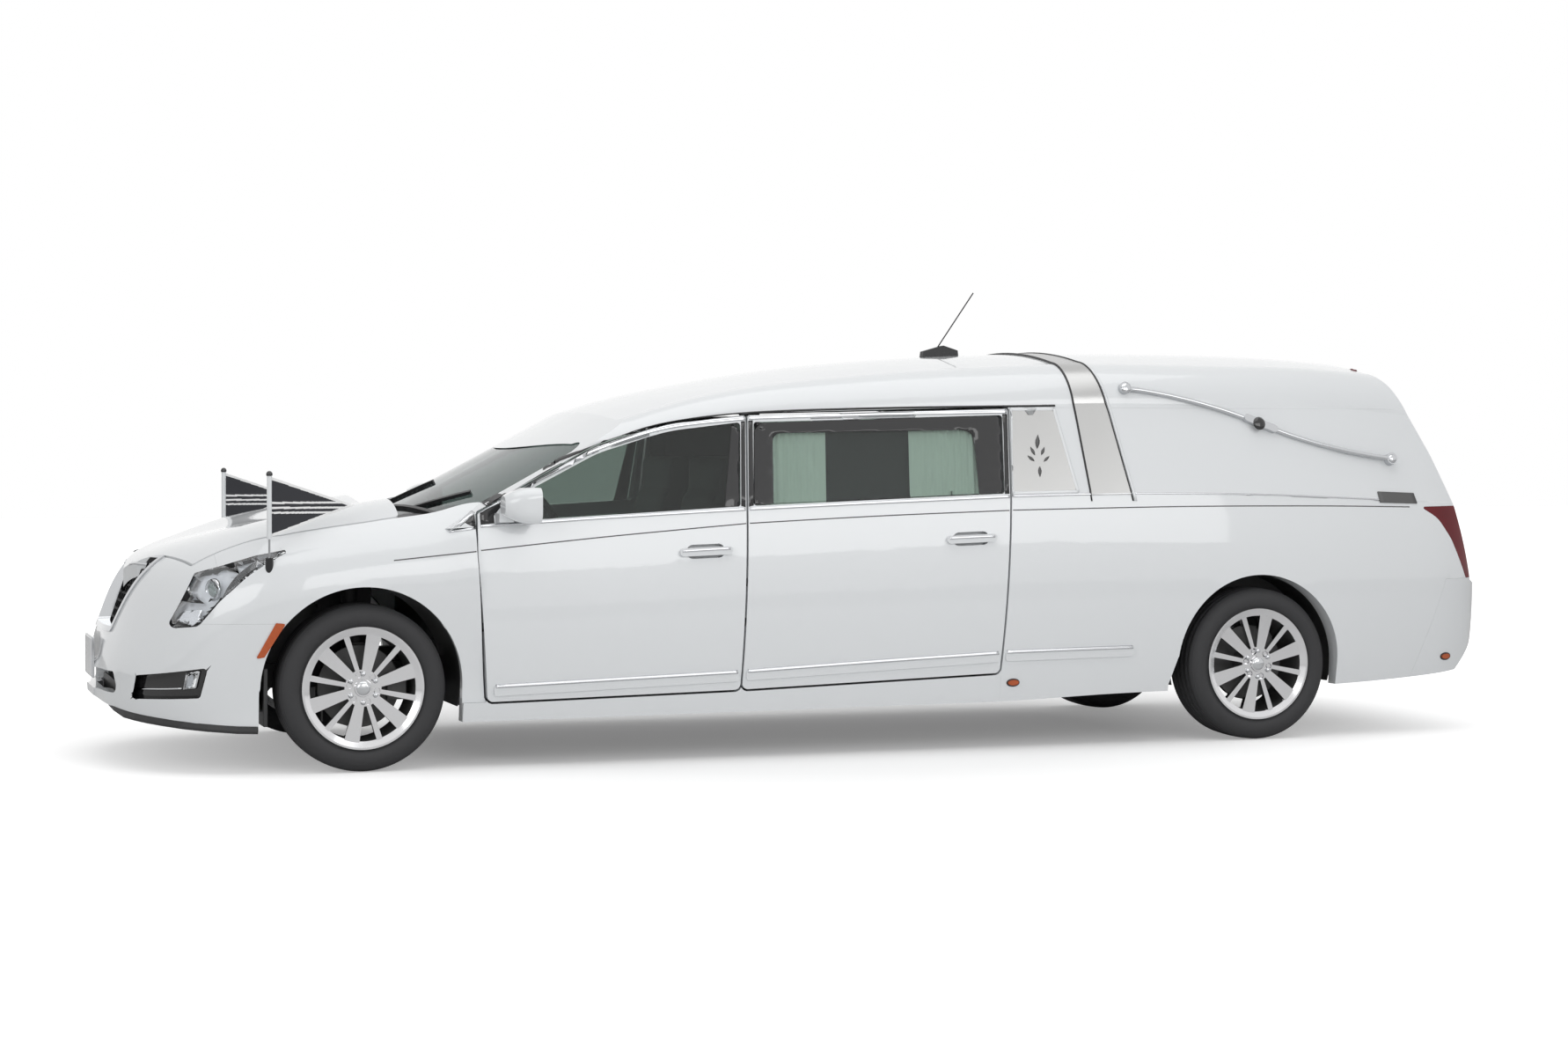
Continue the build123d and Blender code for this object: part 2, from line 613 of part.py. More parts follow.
export_step(door_rear_left.part, "parts/door_rear_left.step")

with BuildPart() as door_rear_right:
    add(mirror(door_rear_left.part, about=Plane.XZ, mode=Mode.PRIVATE))
door_rear_right.part.label = "door_rear_right"
export_step(door_rear_right.part, "parts/door_rear_right.step")

with BuildPart() as glass_front_left:
    add(left_prism(FRONT_WINDOW, -SEAM))
    add(PANE_OUT, mode=Mode.INTERSECT)
    add(PANE_IN, mode=Mode.SUBTRACT)
glass_front_left.part.label = "glass_front_left"
export_step(glass_front_left.part, "parts/glass_front_left.step")

with BuildPart() as glass_front_right:
    add(mirror(glass_front_left.part, about=Plane.XZ, mode=Mode.PRIVATE))
glass_front_right.part.label = "glass_front_right"
export_step(glass_front_right.part, "parts/glass_front_right.step")

with BuildPart() as glass_rear_left:
    add(left_prism(REAR_WINDOW, -SEAM))
    add(PANE_OUT, mode=Mode.INTERSECT)
    add(PANE_IN, mode=Mode.SUBTRACT)
glass_rear_left.part.label = "glass_rear_left"
export_step(glass_rear_left.part, "parts/glass_rear_left.step")

with BuildPart() as glass_rear_right:
    add(mirror(glass_rear_left.part, about=Plane.XZ, mode=Mode.PRIVATE))
glass_rear_right.part.label = "glass_rear_right"
export_step(glass_rear_right.part, "parts/glass_rear_right.step")

with BuildPart() as curtain_left:
    add(left_prism(REAR_WINDOW, -SEAM))
    add(box_at(CURTAIN_GAP, (-REACH, REACH), (0, 2 * ROOF_Z)), mode=Mode.SUBTRACT)
    add(even_inset(18), mode=Mode.INTERSECT)
    add(even_inset(30), mode=Mode.SUBTRACT)
curtain_left.part.label = "curtain_left"
export_step(curtain_left.part, "parts/curtain_left.step")

with BuildPart() as curtain_right:
    add(mirror(curtain_left.part, about=Plane.XZ, mode=Mode.PRIVATE))
curtain_right.part.label = "curtain_right"
export_step(curtain_right.part, "parts/curtain_right.step")

with BuildPart() as windscreen:
    add(screen_drum(GLASS_RECESS))
    add(screen_drum(GLASS_RECESS + GLASS), mode=Mode.SUBTRACT)
    add(INSIDE, mode=Mode.INTERSECT)
    add(box_at((0, 1400), (-COWL_HALF, COWL_HALF), (0, ROOF_Z)), mode=Mode.INTERSECT)
    add(COWL_ROOM, mode=Mode.SUBTRACT)
windscreen.part.label = "windscreen"
export_step(windscreen.part, "parts/windscreen.step")

UPPER_SHELL = cut_from(
    SHELL,
    keep=[belt_prism()],
    cut=[
        cross_prism(FRONT_DOOR, DOOR_GAP),
        cross_prism(REAR_DOOR, DOOR_GAP),
        cross_prism(TAIL_LAMP, SEAM),
        NOSE_ROOM,
        TAIL_DOOR_ROOM,
    ],
)
BACK_WALLS = ((C_LINE[1][0], WHEELBASE + 2 * REAR_OVERHANG), (-REACH, REACH))
with BuildPart() as roof:
    add(UPPER_SHELL)
    add(box_at(*BACK_WALLS, (0, ROOF_SPLIT_Z)), mode=Mode.SUBTRACT)
roof.part.label = "roof"
export_step(roof.part, "parts/roof.step")

with BuildPart() as roof_sides:
    add(UPPER_SHELL)
    add(box_at(*BACK_WALLS, (0, ROOF_SPLIT_Z - SEAM)), mode=Mode.INTERSECT)
roof_sides.part.label = "roof_sides"
export_step(roof_sides.part, "parts/roof_sides.step")

with BuildPart() as quarter_panels:
    add(SHELL)
    add(box_at((2745, 5300), (-REACH, -560), (60, ROOF_Z)), mode=Mode.INTERSECT)
    for block in (
        belt_prism(SEAM),
        left_prism(REAR_DOOR, DOOR_GAP),
        left_prism(SILL, SEAM),
        left_prism(REAR_BUMPER, SEAM),
        left_prism(TAIL_LAMP, SEAM),
        REAR_ARCH,
        TAIL_DOOR_ROOM,
        tail_sweep.part,
    ):
        add(block, mode=Mode.SUBTRACT)
    add(cut_from(left_prism(QUARTER_MOULD), keep=[BEAD_OUT], cut=[BEAD_IN]))
    mirror(about=Plane.XZ)
quarter_panels.part.label = "quarter_panels"
export_step(quarter_panels.part, "parts/quarter_panels.step")

with BuildPart() as rear_bumper:
    add(SHELL)
    add(cross_prism(REAR_BUMPER), mode=Mode.INTERSECT)
    add(TAIL_DOOR_ROOM, mode=Mode.SUBTRACT)
rear_bumper.part.label = "rear_bumper"
export_step(rear_bumper.part, "parts/rear_bumper.step")

with BuildPart() as tail_lamps:
    add(left_prism(TAIL_LAMP))
    add(box_at((4700, 5300), (-REACH, -TAIL_HINGE_Y), (600, 1100)), mode=Mode.INTERSECT)
    add(SHELL, mode=Mode.INTERSECT)
    add(TAIL_DOOR_ROOM, mode=Mode.SUBTRACT)
    add(tail_sweep.part, mode=Mode.SUBTRACT)
    mirror(about=Plane.XZ)
tail_lamps.part.label = "tail_lamps"
export_step(tail_lamps.part, "parts/tail_lamps.step")

with BuildPart() as sill_panels:
    add(SHELL)
    add(left_prism(SILL), mode=Mode.INTERSECT)
    add(left_prism(FRONT_DOOR, DOOR_GAP), mode=Mode.SUBTRACT)
    add(left_prism(REAR_DOOR, DOOR_GAP), mode=Mode.SUBTRACT)
    mirror(about=Plane.XZ)
sill_panels.part.label = "sill_panels"
export_step(sill_panels.part, "parts/sill_panels.step")

with BuildPart() as tail_door:
    add(SHELL)
    add(facing_prism(TAIL_LEAF, 5200, 700, TAIL_TAPER), mode=Mode.INTERSECT)
    add(facing_prism(TAIL_WINDOW, 5200, 700), mode=Mode.SUBTRACT)
    for height in TAIL_HINGE_SPAN:
        with BuildSketch(TAIL_HINGE.offset(height - HINGE_THICK / 2 - 5)):
            with BuildLine():
                right = HINGE_EYE_R + 6
                out = HINGE_EYE_R + 2
                Polyline((out, right), (out, -300), (-300, -300), (-300, right), close=True)
            make_face()
        extrude(amount=HINGE_THICK + 10, mode=Mode.SUBTRACT)
        with BuildSketch(TAIL_HINGE.offset(height - HINGE_PIN_HALF - 4)):
            Circle(HINGE_PIN_R + FIT)
        extrude(amount=2 * HINGE_PIN_HALF + 8, mode=Mode.SUBTRACT)
tail_door.part.label = "tail_door"
export_step(tail_door.part, "parts/tail_door.step")

with BuildPart() as tail_glass:
    add(tail_bound(GLASS_RECESS))
    add(tail_bound(GLASS_RECESS + GLASS), mode=Mode.SUBTRACT)
    add(facing_prism(TAIL_WINDOW, 5200, 700, grow=-SEAM), mode=Mode.INTERSECT)
tail_glass.part.label = "tail_glass"
export_step(tail_glass.part, "parts/tail_glass.step")

# Floor, pillars and cab
FLOOR_TOP = FLOOR_Z + FLOOR_THICK
FIREWALL_AFT = 445
FIREWALL_THICK = 25
WHEELHOUSE_Y = 636
DECK_FRONT = 2000
DECK_REAR = WHEELBASE + 900
FLOOR_STEP_Y = 812
FLOOR_STEP_Z = 256
FLOOR_CORNER_Y = 790
REAR_FLOOR_TOP = REAR_FLOOR_Z + FLOOR_THICK
FLOOR_PROFILE = [
    (FIREWALL_AFT, FLOOR_Z, 0),
    (WHEELBASE - 520, FLOOR_Z, 0),
    (WHEELBASE - 480, REAR_FLOOR_Z, 40),
    (WHEELBASE + 1010, REAR_FLOOR_Z, 0),
    (WHEELBASE + 1010, REAR_FLOOR_TOP, 0),
    (WHEELBASE - 530, REAR_FLOOR_TOP, 40),
    (WHEELBASE - 580, FLOOR_TOP, 40),
    (FIREWALL_AFT + 60, FLOOR_TOP, 30),
    (FIREWALL_AFT + FIREWALL_THICK, FLOOR_TOP + 60, 30),
    (FIREWALL_AFT + FIREWALL_THICK, COWL_TOP, 0),
    (FIREWALL_AFT, COWL_TOP, 0),
]

with BuildPart() as wheelhouse:
    with BuildSketch(Plane(origin=(REAR_AXLE_X, -WHEELHOUSE_Y + SEAM, AXLE_Z), x_dir=(1, 0, 0), z_dir=(0, -1, 0))):
        Circle(REAR_ARCH_R + LINER_THICK + SEAM)
    extrude(amount=REACH)
    mirror(about=Plane.XZ)

with BuildPart() as floor_pan:
    add(cross_prism(FLOOR_PROFILE))
    add(INSIDE, mode=Mode.INTERSECT)
    add(tail_bound(TAIL_WALL + SEAM), mode=Mode.INTERSECT)
    add(wheelhouse.part, mode=Mode.SUBTRACT)
    for side in (-1, 1):
        outer = (side * FLOOR_STEP_Y, side * REACH)
        add(box_at((0, DECK_FRONT), outer, (FLOOR_STEP_Z, ROOF_Z)), mode=Mode.SUBTRACT)
        corner = (side * FLOOR_CORNER_Y, side * REACH)
        add(box_at((0, FRONT_PIN_AFT), corner, (0, ROOF_Z)), mode=Mode.SUBTRACT)
        for pin_x in (FRONT_PIN_X, REAR_PIN_X):
            add(post_at(pin_x, side * HINGE_Y, DOOR_SWEEP_R, (0, FLOOR_TOP + 1)), mode=Mode.SUBTRACT)
    add(box_at((0, 600), (-REACH, REACH), (FLOOR_TOP + 100, ROOF_Z)), mode=Mode.SUBTRACT)
    add(
        cut_from(
            box_at((FIREWALL_AFT, FIREWALL_AFT + FIREWALL_THICK), (-COWL_HALF, COWL_HALF), (FLOOR_TOP, COWL_TOP)),
            keep=[front_body(COWL_DROP + COWL_THICK + SEAM, FLOOR_Z)],
        )
    )
floor_pan.part.label = "floor_pan"
export_step(floor_pan.part, "parts/floor_pan.step")

POST_TOP = 800
FRAME_SWEEP_Z = 1020
DASH_HALF = 690
with BuildPart() as door_pillars:
    add(box_at((FRONT_PIN_AFT - 30, FRONT_PIN_AFT + 45), (-REACH, REACH), (FLOOR_TOP + SEAM, POST_TOP)))
    add(box_at((REAR_PIN_AFT - 30, REAR_PIN_AFT + 45), (-REACH, REACH), (FLOOR_TOP + SEAM, ROOF_Z)))
    add(ROOM, mode=Mode.INTERSECT)
    add(
        cabin_body(DOOR_WALL + DOOR_GAP + 70, FRAME_WALL + DOOR_GAP + 36, ROOF_WALL + 36, FLOOR_Z),
        mode=Mode.SUBTRACT,
    )
    for side in (-1, 1):
        for pin_x in (FRONT_PIN_X, REAR_PIN_X):
            add(post_at(pin_x, side * HINGE_Y, DOOR_SWEEP_R, (0, FRAME_SWEEP_Z)), mode=Mode.SUBTRACT)
        add(post_at(REAR_PIN_X, side * HINGE_Y, FRAME_SWEEP_R, (FRAME_SWEEP_Z, ROOF_Z)), mode=Mode.SUBTRACT)
        for pin_x in (FRONT_PIN_X, REAR_PIN_X):
            for height in HINGE_HEIGHTS:
                with BuildSketch(Plane.XY.offset(height - HINGE_THICK / 2)):
                    with Locations((pin_x, side * HINGE_Y)):
                        Circle(HINGE_EYE_R)
                    with Locations((pin_x, side * (HINGE_Y - HINGE_ARM / 2))):
                        Rectangle(2 * HINGE_EYE_R, HINGE_ARM)
                extrude(amount=HINGE_THICK)
                span = (height - HINGE_PIN_HALF, height + HINGE_PIN_HALF)
                add(post_at(pin_x, side * HINGE_Y, HINGE_PIN_R, span))
door_pillars.part.label = "door_pillars"
export_step(door_pillars.part, "parts/door_pillars.step")

with BuildPart() as tail_post:
    with BuildSketch(TAIL_HINGE.offset(TAIL_HINGE_SPAN[0] - 260)):
        with Locations((-TAIL_ARM - 20, 0)):
            Rectangle(40, 80)
    extrude(amount=TAIL_HINGE_SPAN[1] + 300 - TAIL_HINGE_SPAN[0])
    add(box_at((4300, 5200), (-REACH, 0), (REAR_FLOOR_TOP, ROOF_Z)), mode=Mode.INTERSECT)
    for height in TAIL_HINGE_SPAN:
        with BuildSketch(TAIL_HINGE.offset(height - HINGE_THICK / 2)):
            Circle(HINGE_EYE_R)
            with Locations((-TAIL_ARM / 2, 0)):
                Rectangle(TAIL_ARM, 2 * HINGE_EYE_R)
        extrude(amount=HINGE_THICK)
        with BuildSketch(TAIL_HINGE.offset(height - HINGE_PIN_HALF)):
            Circle(HINGE_PIN_R)
        extrude(amount=2 * HINGE_PIN_HALF)
tail_post.part.label = "tail_post"
export_step(tail_post.part, "parts/tail_post.step")

with BuildPart() as bier_deck:
    add(box_at((DECK_FRONT, DECK_REAR), (-DECK_HALF, DECK_HALF), (DECK_Z - 40, DECK_Z)))
    add(box_at((DECK_FRONT, DECK_FRONT + 30), (-DECK_HALF, DECK_HALF), (FLOOR_TOP, DECK_Z - 20)))
    add(box_at((DECK_FRONT, WHEELBASE - 640), (-DECK_HALF, -DECK_HALF + 30), (FLOOR_TOP, DECK_Z - 20)))
    add(box_at((WHEELBASE - 480, WHEELBASE + 880), (-DECK_HALF, -DECK_HALF + 30), (REAR_FLOOR_TOP, DECK_Z - 20)))
    mirror(about=Plane.XZ)
bier_deck.part.label = "bier_deck"
export_step(bier_deck.part, "parts/bier_deck.step")

DASH_PROFILE = [
    (FIREWALL_AFT + FIREWALL_THICK, 640, 0),
    (FIREWALL_AFT + FIREWALL_THICK, 905, 20),
    (560, 962, 60),
    (760, 935, 50),
    (800, 850, 60),
    (700, 660, 60),
]
WHEEL_RIM_R = 185
COLUMN = Plane(origin=(station(770), -375, 860), x_dir=(0, 1, 0), z_dir=(cos(radians(25)), 0, sin(radians(25))))
with BuildPart() as dashboard:
    add(outline_block(Plane.XZ, [(station(a), z) for a, z, _ in DASH_PROFILE], [r for _, _, r in DASH_PROFILE], DASH_HALF, both=True))
    with BuildSketch(COLUMN):
        Circle(28)
    extrude(amount=150)
    with BuildSketch(COLUMN.offset(140)):
        Circle(58)
        with PolarLocations(0, 3, start_angle=-90):
            with BuildLine():
                Polyline((0, -16), (WHEEL_RIM_R, -13), (WHEEL_RIM_R, 13), (0, 16), close=True)
            make_face()
    extrude(amount=22)
    with BuildSketch(Plane(origin=COLUMN.offset(150).origin, x_dir=(0, 1, 0), z_dir=COLUMN.x_dir.cross(COLUMN.z_dir))):
        with Locations((WHEEL_RIM_R, 0)):
            Circle(14)
    revolve(axis=Axis(COLUMN.origin, COLUMN.z_dir))
dashboard.part.label = "dashboard"
export_step(dashboard.part, "parts/dashboard.step")

SEAT_PROFILE = [
    (1010, FLOOR_TOP, 0),
    (1000, 450, 40),
    (1030, 540, 40),
    (1420, 500, 60),
    (1550, 1080, 30),
    (1575, 1110, 10),
    (1580, 1260, 30),
    (1665, 1265, 30),
    (1680, 1100, 10),
    (1670, 1060, 30),
    (1560, 470, 60),
    (1500, FLOOR_TOP, 0),
]
SEAT_HALF = 245
with BuildPart() as seats:
    with BuildSketch(Plane.XZ.offset(375 - SEAT_HALF)):
        with BuildLine():
            FilletPolyline(*[(station(a), z) for a, z, _ in SEAT_PROFILE], radius=[r for _, _, r in SEAT_PROFILE], close=True)
        make_face()
    extrude(amount=2 * SEAT_HALF)
    mirror(about=Plane.XZ)
seats.part.label = "seats"
export_step(seats.part, "parts/seats.step")

# Cowl with the bonnet's hinge lugs
with BuildPart() as cowl:
    add(box_at((HOOD_REAR - 15, FIREWALL_AFT + FIREWALL_THICK), (-COWL_HALF, COWL_HALF), (850, ROOF_Z)))
    add(COWL_SKIN, mode=Mode.INTERSECT)
    add(front_body(COWL_DROP + COWL_THICK, FLOOR_Z), mode=Mode.SUBTRACT)
    for side in (-1, 1):
        for edge_y in (-23, 23):
            y = side * HOOD_HINGE_Y + edge_y
            add(box_at((HOOD_REAR - 3, HOOD_REAR + 23), (y - 5, y + 5), (HOOD_HINGE_Z - 65, HOOD_HINGE_Z + 10)))
        with BuildSketch(Plane(origin=(station(HOOD_REAR + 10), side * HOOD_HINGE_Y - 28, HOOD_HINGE_Z), z_dir=(0, 1, 0))):
            Circle(HINGE_PIN_R)
        extrude(amount=56)
cowl.part.label = "cowl"
export_step(cowl.part, "parts/cowl.step")

# Running gear
FRONT_HUB = Plane(origin=(FRONT_AXLE_X, -WHEEL_Y, AXLE_Z), x_dir=(1, 0, 0), z_dir=(0, -1, 0))
FRONT_SECTION = Plane(origin=(FRONT_AXLE_X, -WHEEL_Y, AXLE_Z), x_dir=(0, -1, 0), z_dir=(1, 0, 0))
HUB_AXIS = Axis((FRONT_AXLE_X, -WHEEL_Y, AXLE_Z), (0, -1, 0))
TO_REAR = Location((WHEELBASE, 0, 0))
TREAD_HALF = TYRE_WIDTH / 2 - 28
BEAD_HALF = TYRE_WIDTH / 2 - 17
FLANGE_THICK = 10
SPOKE_BACK = 74
SPOKE_THICK = 26
HUB_R = 74
DISC_R = 165
DISC_BACK = -22
DISC_THICK = 24
LUG_COUNT = 6
LUG_CIRCLE_R = 57

with BuildPart() as tyre_front_left:
    with BuildSketch(FRONT_SECTION):
        with BuildLine():
            foot = (BEAD_HALF, BEAD_R + FIT)
            heel = (BEAD_HALF, RIM_R + 4)
            shoulder = (TREAD_HALF + 12, TYRE_R - 14)
            edge = (TREAD_HALF, TYRE_R - 3)
            Line(far_side(foot), foot)
            Line(foot, heel)
            ThreePointArc(heel, (TYRE_WIDTH / 2, 0.55 * RIM_R + 0.45 * TYRE_R), shoulder)
            Line(shoulder, edge)
            ThreePointArc(edge, (0, TYRE_R), far_side(edge))
            Line(far_side(edge), far_side(shoulder))
            ThreePointArc(far_side(shoulder), (-TYRE_WIDTH / 2, 0.55 * RIM_R + 0.45 * TYRE_R), far_side(heel))
            Line(far_side(heel), far_side(foot))
        make_face()
    revolve(axis=HUB_AXIS)
tyre_front_left.part.label = "tyre_front_left"
export_step(tyre_front_left.part, "parts/tyre_front_left.step")

with BuildPart() as wheel_front_left:
    with BuildSketch(FRONT_SECTION):
        with BuildLine():
            outer_lip = BEAD_HALF + SEAM + FLANGE_THICK
            Polyline(
                (-outer_lip, BARREL_R),
                (-outer_lip, RIM_R),
                (-BEAD_HALF - SEAM, RIM_R),
                (-BEAD_HALF - SEAM, BEAD_R),
                (BEAD_HALF + SEAM, BEAD_R),
                (BEAD_HALF + SEAM, RIM_R),
                (outer_lip, RIM_R),
                (outer_lip, RIM_R - 8),
                (outer_lip - 14, BARREL_R),
                close=True,
            )
        make_face()
    revolve(axis=HUB_AXIS)
    with BuildSketch(FRONT_HUB.offset(SPOKE_BACK)):
        with PolarLocations(0, LUG_COUNT, start_angle=78):
            Polygon((40, -17), (BARREL_R + 4, -31), (BARREL_R + 4, 31), (40, 17), align=None)
        with PolarLocations(0, LUG_COUNT, start_angle=108):
            Polygon((40, -8), (BARREL_R + 4, -12), (BARREL_R + 4, 12), (40, 8), align=None)
    extrude(amount=SPOKE_THICK)
    with BuildSketch(FRONT_HUB.offset(DISC_BACK)):
        Circle(HUB_R)
    extrude(amount=SPOKE_BACK + SPOKE_THICK - DISC_BACK)
    with BuildSketch(FRONT_HUB.offset(DISC_BACK)):
        Circle(DISC_R)
    extrude(amount=DISC_THICK)
    with BuildSketch(FRONT_HUB.offset(SPOKE_BACK + SPOKE_THICK - 14)):
        with PolarLocations(LUG_CIRCLE_R, LUG_COUNT, start_angle=108):
            Circle(14)
    extrude(amount=20, mode=Mode.SUBTRACT)
    with BuildSketch(FRONT_HUB.offset(SPOKE_BACK + SPOKE_THICK - 14)):
        with PolarLocations(LUG_CIRCLE_R, LUG_COUNT, start_angle=108):
            RegularPolygon(10, 6)
    extrude(amount=12)
    with BuildSketch(FRONT_HUB.offset(SPOKE_BACK + SPOKE_THICK)):
        Circle(36)
    extrude(amount=8, taper=20)
    with BuildSketch(FRONT_HUB.offset(DISC_BACK)):
        Circle(SPINDLE_R + FIT)
    extrude(amount=SPOKE_BACK - DISC_BACK, mode=Mode.SUBTRACT)
wheel_front_left.part.label = "wheel_front_left"
export_step(wheel_front_left.part, "parts/wheel_front_left.step")

UPPER_ARM_Z = AXLE_Z + 184
LOWER_ARM_Z = AXLE_Z - 160
ARM_THICK = 22
UPRIGHT_HALF = 28

with BuildPart() as knuckle_front_left:
    add(
        box_at(
            (-UPRIGHT_HALF, UPRIGHT_HALF),
            (-KINGPIN_Y - UPRIGHT_HALF, -KINGPIN_Y + UPRIGHT_HALF),
            (LOWER_ARM_Z + ARM_THICK / 2 + SEAM, UPPER_ARM_Z - ARM_THICK / 2 - SEAM),
        )
    )
    with BuildSketch(FRONT_HUB.offset(KINGPIN_Y - WHEEL_Y)):
        Circle(SPINDLE_R)
    extrude(amount=WHEEL_Y - KINGPIN_Y + SPOKE_BACK - 6)
    add(
        box_at(
            (UPRIGHT_HALF - 6, 188),
            (-KINGPIN_Y - UPRIGHT_HALF, -KINGPIN_Y + UPRIGHT_HALF - 20),
            (AXLE_Z - 55, AXLE_Z + 55),
        )
    )
    add(box_at((112, 188), (-WHEEL_Y - 24, -KINGPIN_Y - UPRIGHT_HALF + 2), (AXLE_Z - 55, AXLE_Z + 55)))
    with BuildSketch(FRONT_HUB.offset(DISC_BACK - 5)):
        Circle(DISC_R + 5)
    extrude(amount=DISC_THICK + 10, mode=Mode.SUBTRACT)
    add(post_at(FRONT_AXLE_X, -KINGPIN_Y, PIVOT_R + FIT, (0, LOWER_ARM_Z + 62)), mode=Mode.SUBTRACT)
    add(post_at(FRONT_AXLE_X, -KINGPIN_Y, PIVOT_R + FIT, (UPPER_ARM_Z - 62, ROOF_Z)), mode=Mode.SUBTRACT)
    with BuildSketch(FRONT_HUB.offset(KINGPIN_Y - WHEEL_Y)):
        Circle(SPINDLE_R)
    extrude(amount=WHEEL_Y - KINGPIN_Y + SPOKE_BACK - 6)
knuckle_front_left.part.label = "knuckle_front_left"
export_step(knuckle_front_left.part, "parts/knuckle_front_left.step")

RAIL_IN, RAIL_OUT = 380, 455
DAMPER_Y = 560
ARM_ROOT, ARM_TIP = 52, 16

with BuildPart() as front_frame:
    add(box_at((-780, 445), (-RAIL_OUT, -RAIL_IN), (310, 410)))
    add(box_at((-120, 120), (-RAIL_OUT, 0), (232, 300)))
    add(box_at((-120, 120), (-RAIL_OUT, -RAIL_IN), (290, 320)))
    add(box_at((-800, -745), (-525, 0), (330, 470)))
    add(box_at((-110, 110), (-RAIL_OUT, -RAIL_OUT + 8), (400, 820)))
    add(box_at((-110, 110), (-DAMPER_Y - 60, -RAIL_OUT + 8), (812, 820)))
    for low, high in ((LOWER_ARM_Z - ARM_THICK / 2, LOWER_ARM_Z + ARM_THICK / 2), (UPPER_ARM_Z - ARM_THICK / 2, UPPER_ARM_Z + ARM_THICK / 2)):
        with BuildSketch(Plane.XY.offset(low)):
            with BuildLine():
                Polyline(
                    (FRONT_AXLE_X - ARM_ROOT, -RAIL_OUT + 8),
                    (FRONT_AXLE_X - ARM_TIP, -KINGPIN_Y),
                    (FRONT_AXLE_X + ARM_TIP, -KINGPIN_Y),
                    (FRONT_AXLE_X + ARM_ROOT, -RAIL_OUT + 8),
                    close=True,
                )
            make_face()
            with Locations((FRONT_AXLE_X, -KINGPIN_Y)):
                Circle(24)
        extrude(amount=high - low)
    add(box_at((-90, 90), (-RAIL_OUT, -RAIL_OUT + 40), (LOWER_ARM_Z - ARM_THICK / 2, 240)))
    add(post_at(FRONT_AXLE_X, -KINGPIN_Y, PIVOT_R, (LOWER_ARM_Z, LOWER_ARM_Z + 56)))
    add(post_at(FRONT_AXLE_X, -KINGPIN_Y, PIVOT_R, (UPPER_ARM_Z - 56, UPPER_ARM_Z)))
    add(post_at(FRONT_AXLE_X, -DAMPER_Y, 34, (LOWER_ARM_Z, 816)))
    mirror(about=Plane.XZ)
front_frame.part.label = "front_frame"
export_step(front_frame.part, "parts/front_frame.step")

with BuildPart() as engine:
    add(box_at((-420, 130), (-330, 330), (300 + SEAM, 640)))
    with BuildSketch(Plane.XY.offset(640)):
        with Locations((station(-145), 0)):
            RectangleRounded(500, 560, 60)
    extrude(amount=190, taper=12)
engine.part.label = "engine"
export_step(engine.part, "parts/engine.step")

BEAM_R = 42
with BuildPart() as rear_axle:
    with BuildSketch(Plane(origin=(REAR_AXLE_X, 0, AXLE_Z), x_dir=(1, 0, 0), z_dir=(0, -1, 0))):
        Circle(BEAM_R)
    extrude(amount=WHEEL_Y + DISC_BACK - 14)
    with BuildSketch(Plane(origin=(REAR_AXLE_X, 0, AXLE_Z), x_dir=(1, 0, 0), z_dir=(0, -1, 0))):
        Circle(SPINDLE_R)
    extrude(amount=WHEEL_Y + SPOKE_BACK - 6)
    add(box_at((WHEELBASE - 480, WHEELBASE + 30), (-520, -460), (AXLE_Z - 36, AXLE_Z + 24)))
    add(box_at((WHEELBASE - 30, WHEELBASE + 30), (-560, -460), (AXLE_Z, REAR_FLOOR_Z - SEAM)))
    mirror(about=Plane.XZ)
rear_axle.part.label = "rear_axle"
export_step(rear_axle.part, "parts/rear_axle.step")

rear_inside = cut_from(INSIDE, keep=[box_at((WHEELBASE / 2, WHEELBASE + REAR_OVERHANG), (-REACH, REACH), (0, ROOF_Z))])
with BuildPart() as wheel_liners:
    for aft, radius, inner_y in ((0, FRONT_ARCH_R, 472), (WHEELBASE, REAR_ARCH_R, 636)):
        with BuildSketch(Plane(origin=(station(aft), -inner_y, AXLE_Z), x_dir=(1, 0, 0), z_dir=(0, -1, 0))):
            Circle(radius + LINER_THICK)
            Circle(radius, mode=Mode.SUBTRACT)
            with Locations((0, -radius - 90)):
                Rectangle(4 * radius, 2 * radius, mode=Mode.SUBTRACT)
        extrude(amount=HALF_WIDTH - inner_y)
    with BuildSketch(Plane(origin=(REAR_AXLE_X, -636, AXLE_Z), x_dir=(1, 0, 0), z_dir=(0, -1, 0))):
        Circle(REAR_ARCH_R + LINER_THICK)
        with Locations((0, -REAR_ARCH_R + 150)):
            Rectangle(4 * REAR_ARCH_R, 2 * REAR_ARCH_R, mode=Mode.SUBTRACT)
    extrude(amount=LINER_THICK)
    add(post_at(FRONT_AXLE_X, -DAMPER_Y, 42, (AXLE_Z, ROOF_Z)), mode=Mode.SUBTRACT)
    add(cut_from(front_body(FENDER_WALL + SEAM, FLOOR_Z), join=[rear_inside]), mode=Mode.INTERSECT)
    mirror(about=Plane.XZ)
wheel_liners.part.label = "wheel_liners"
export_step(wheel_liners.part, "parts/wheel_liners.step")

with BuildPart() as tyre_front_right:
    add(mirror(tyre_front_left.part, about=Plane.XZ, mode=Mode.PRIVATE))
tyre_front_right.part.label = "tyre_front_right"
export_step(tyre_front_right.part, "parts/tyre_front_right.step")

with BuildPart() as tyre_rear_left:
    add(tyre_front_left.part.moved(TO_REAR))
tyre_rear_left.part.label = "tyre_rear_left"
export_step(tyre_rear_left.part, "parts/tyre_rear_left.step")

with BuildPart() as tyre_rear_right:
    add(tyre_front_right.part.moved(TO_REAR))
tyre_rear_right.part.label = "tyre_rear_right"
export_step(tyre_rear_right.part, "parts/tyre_rear_right.step")

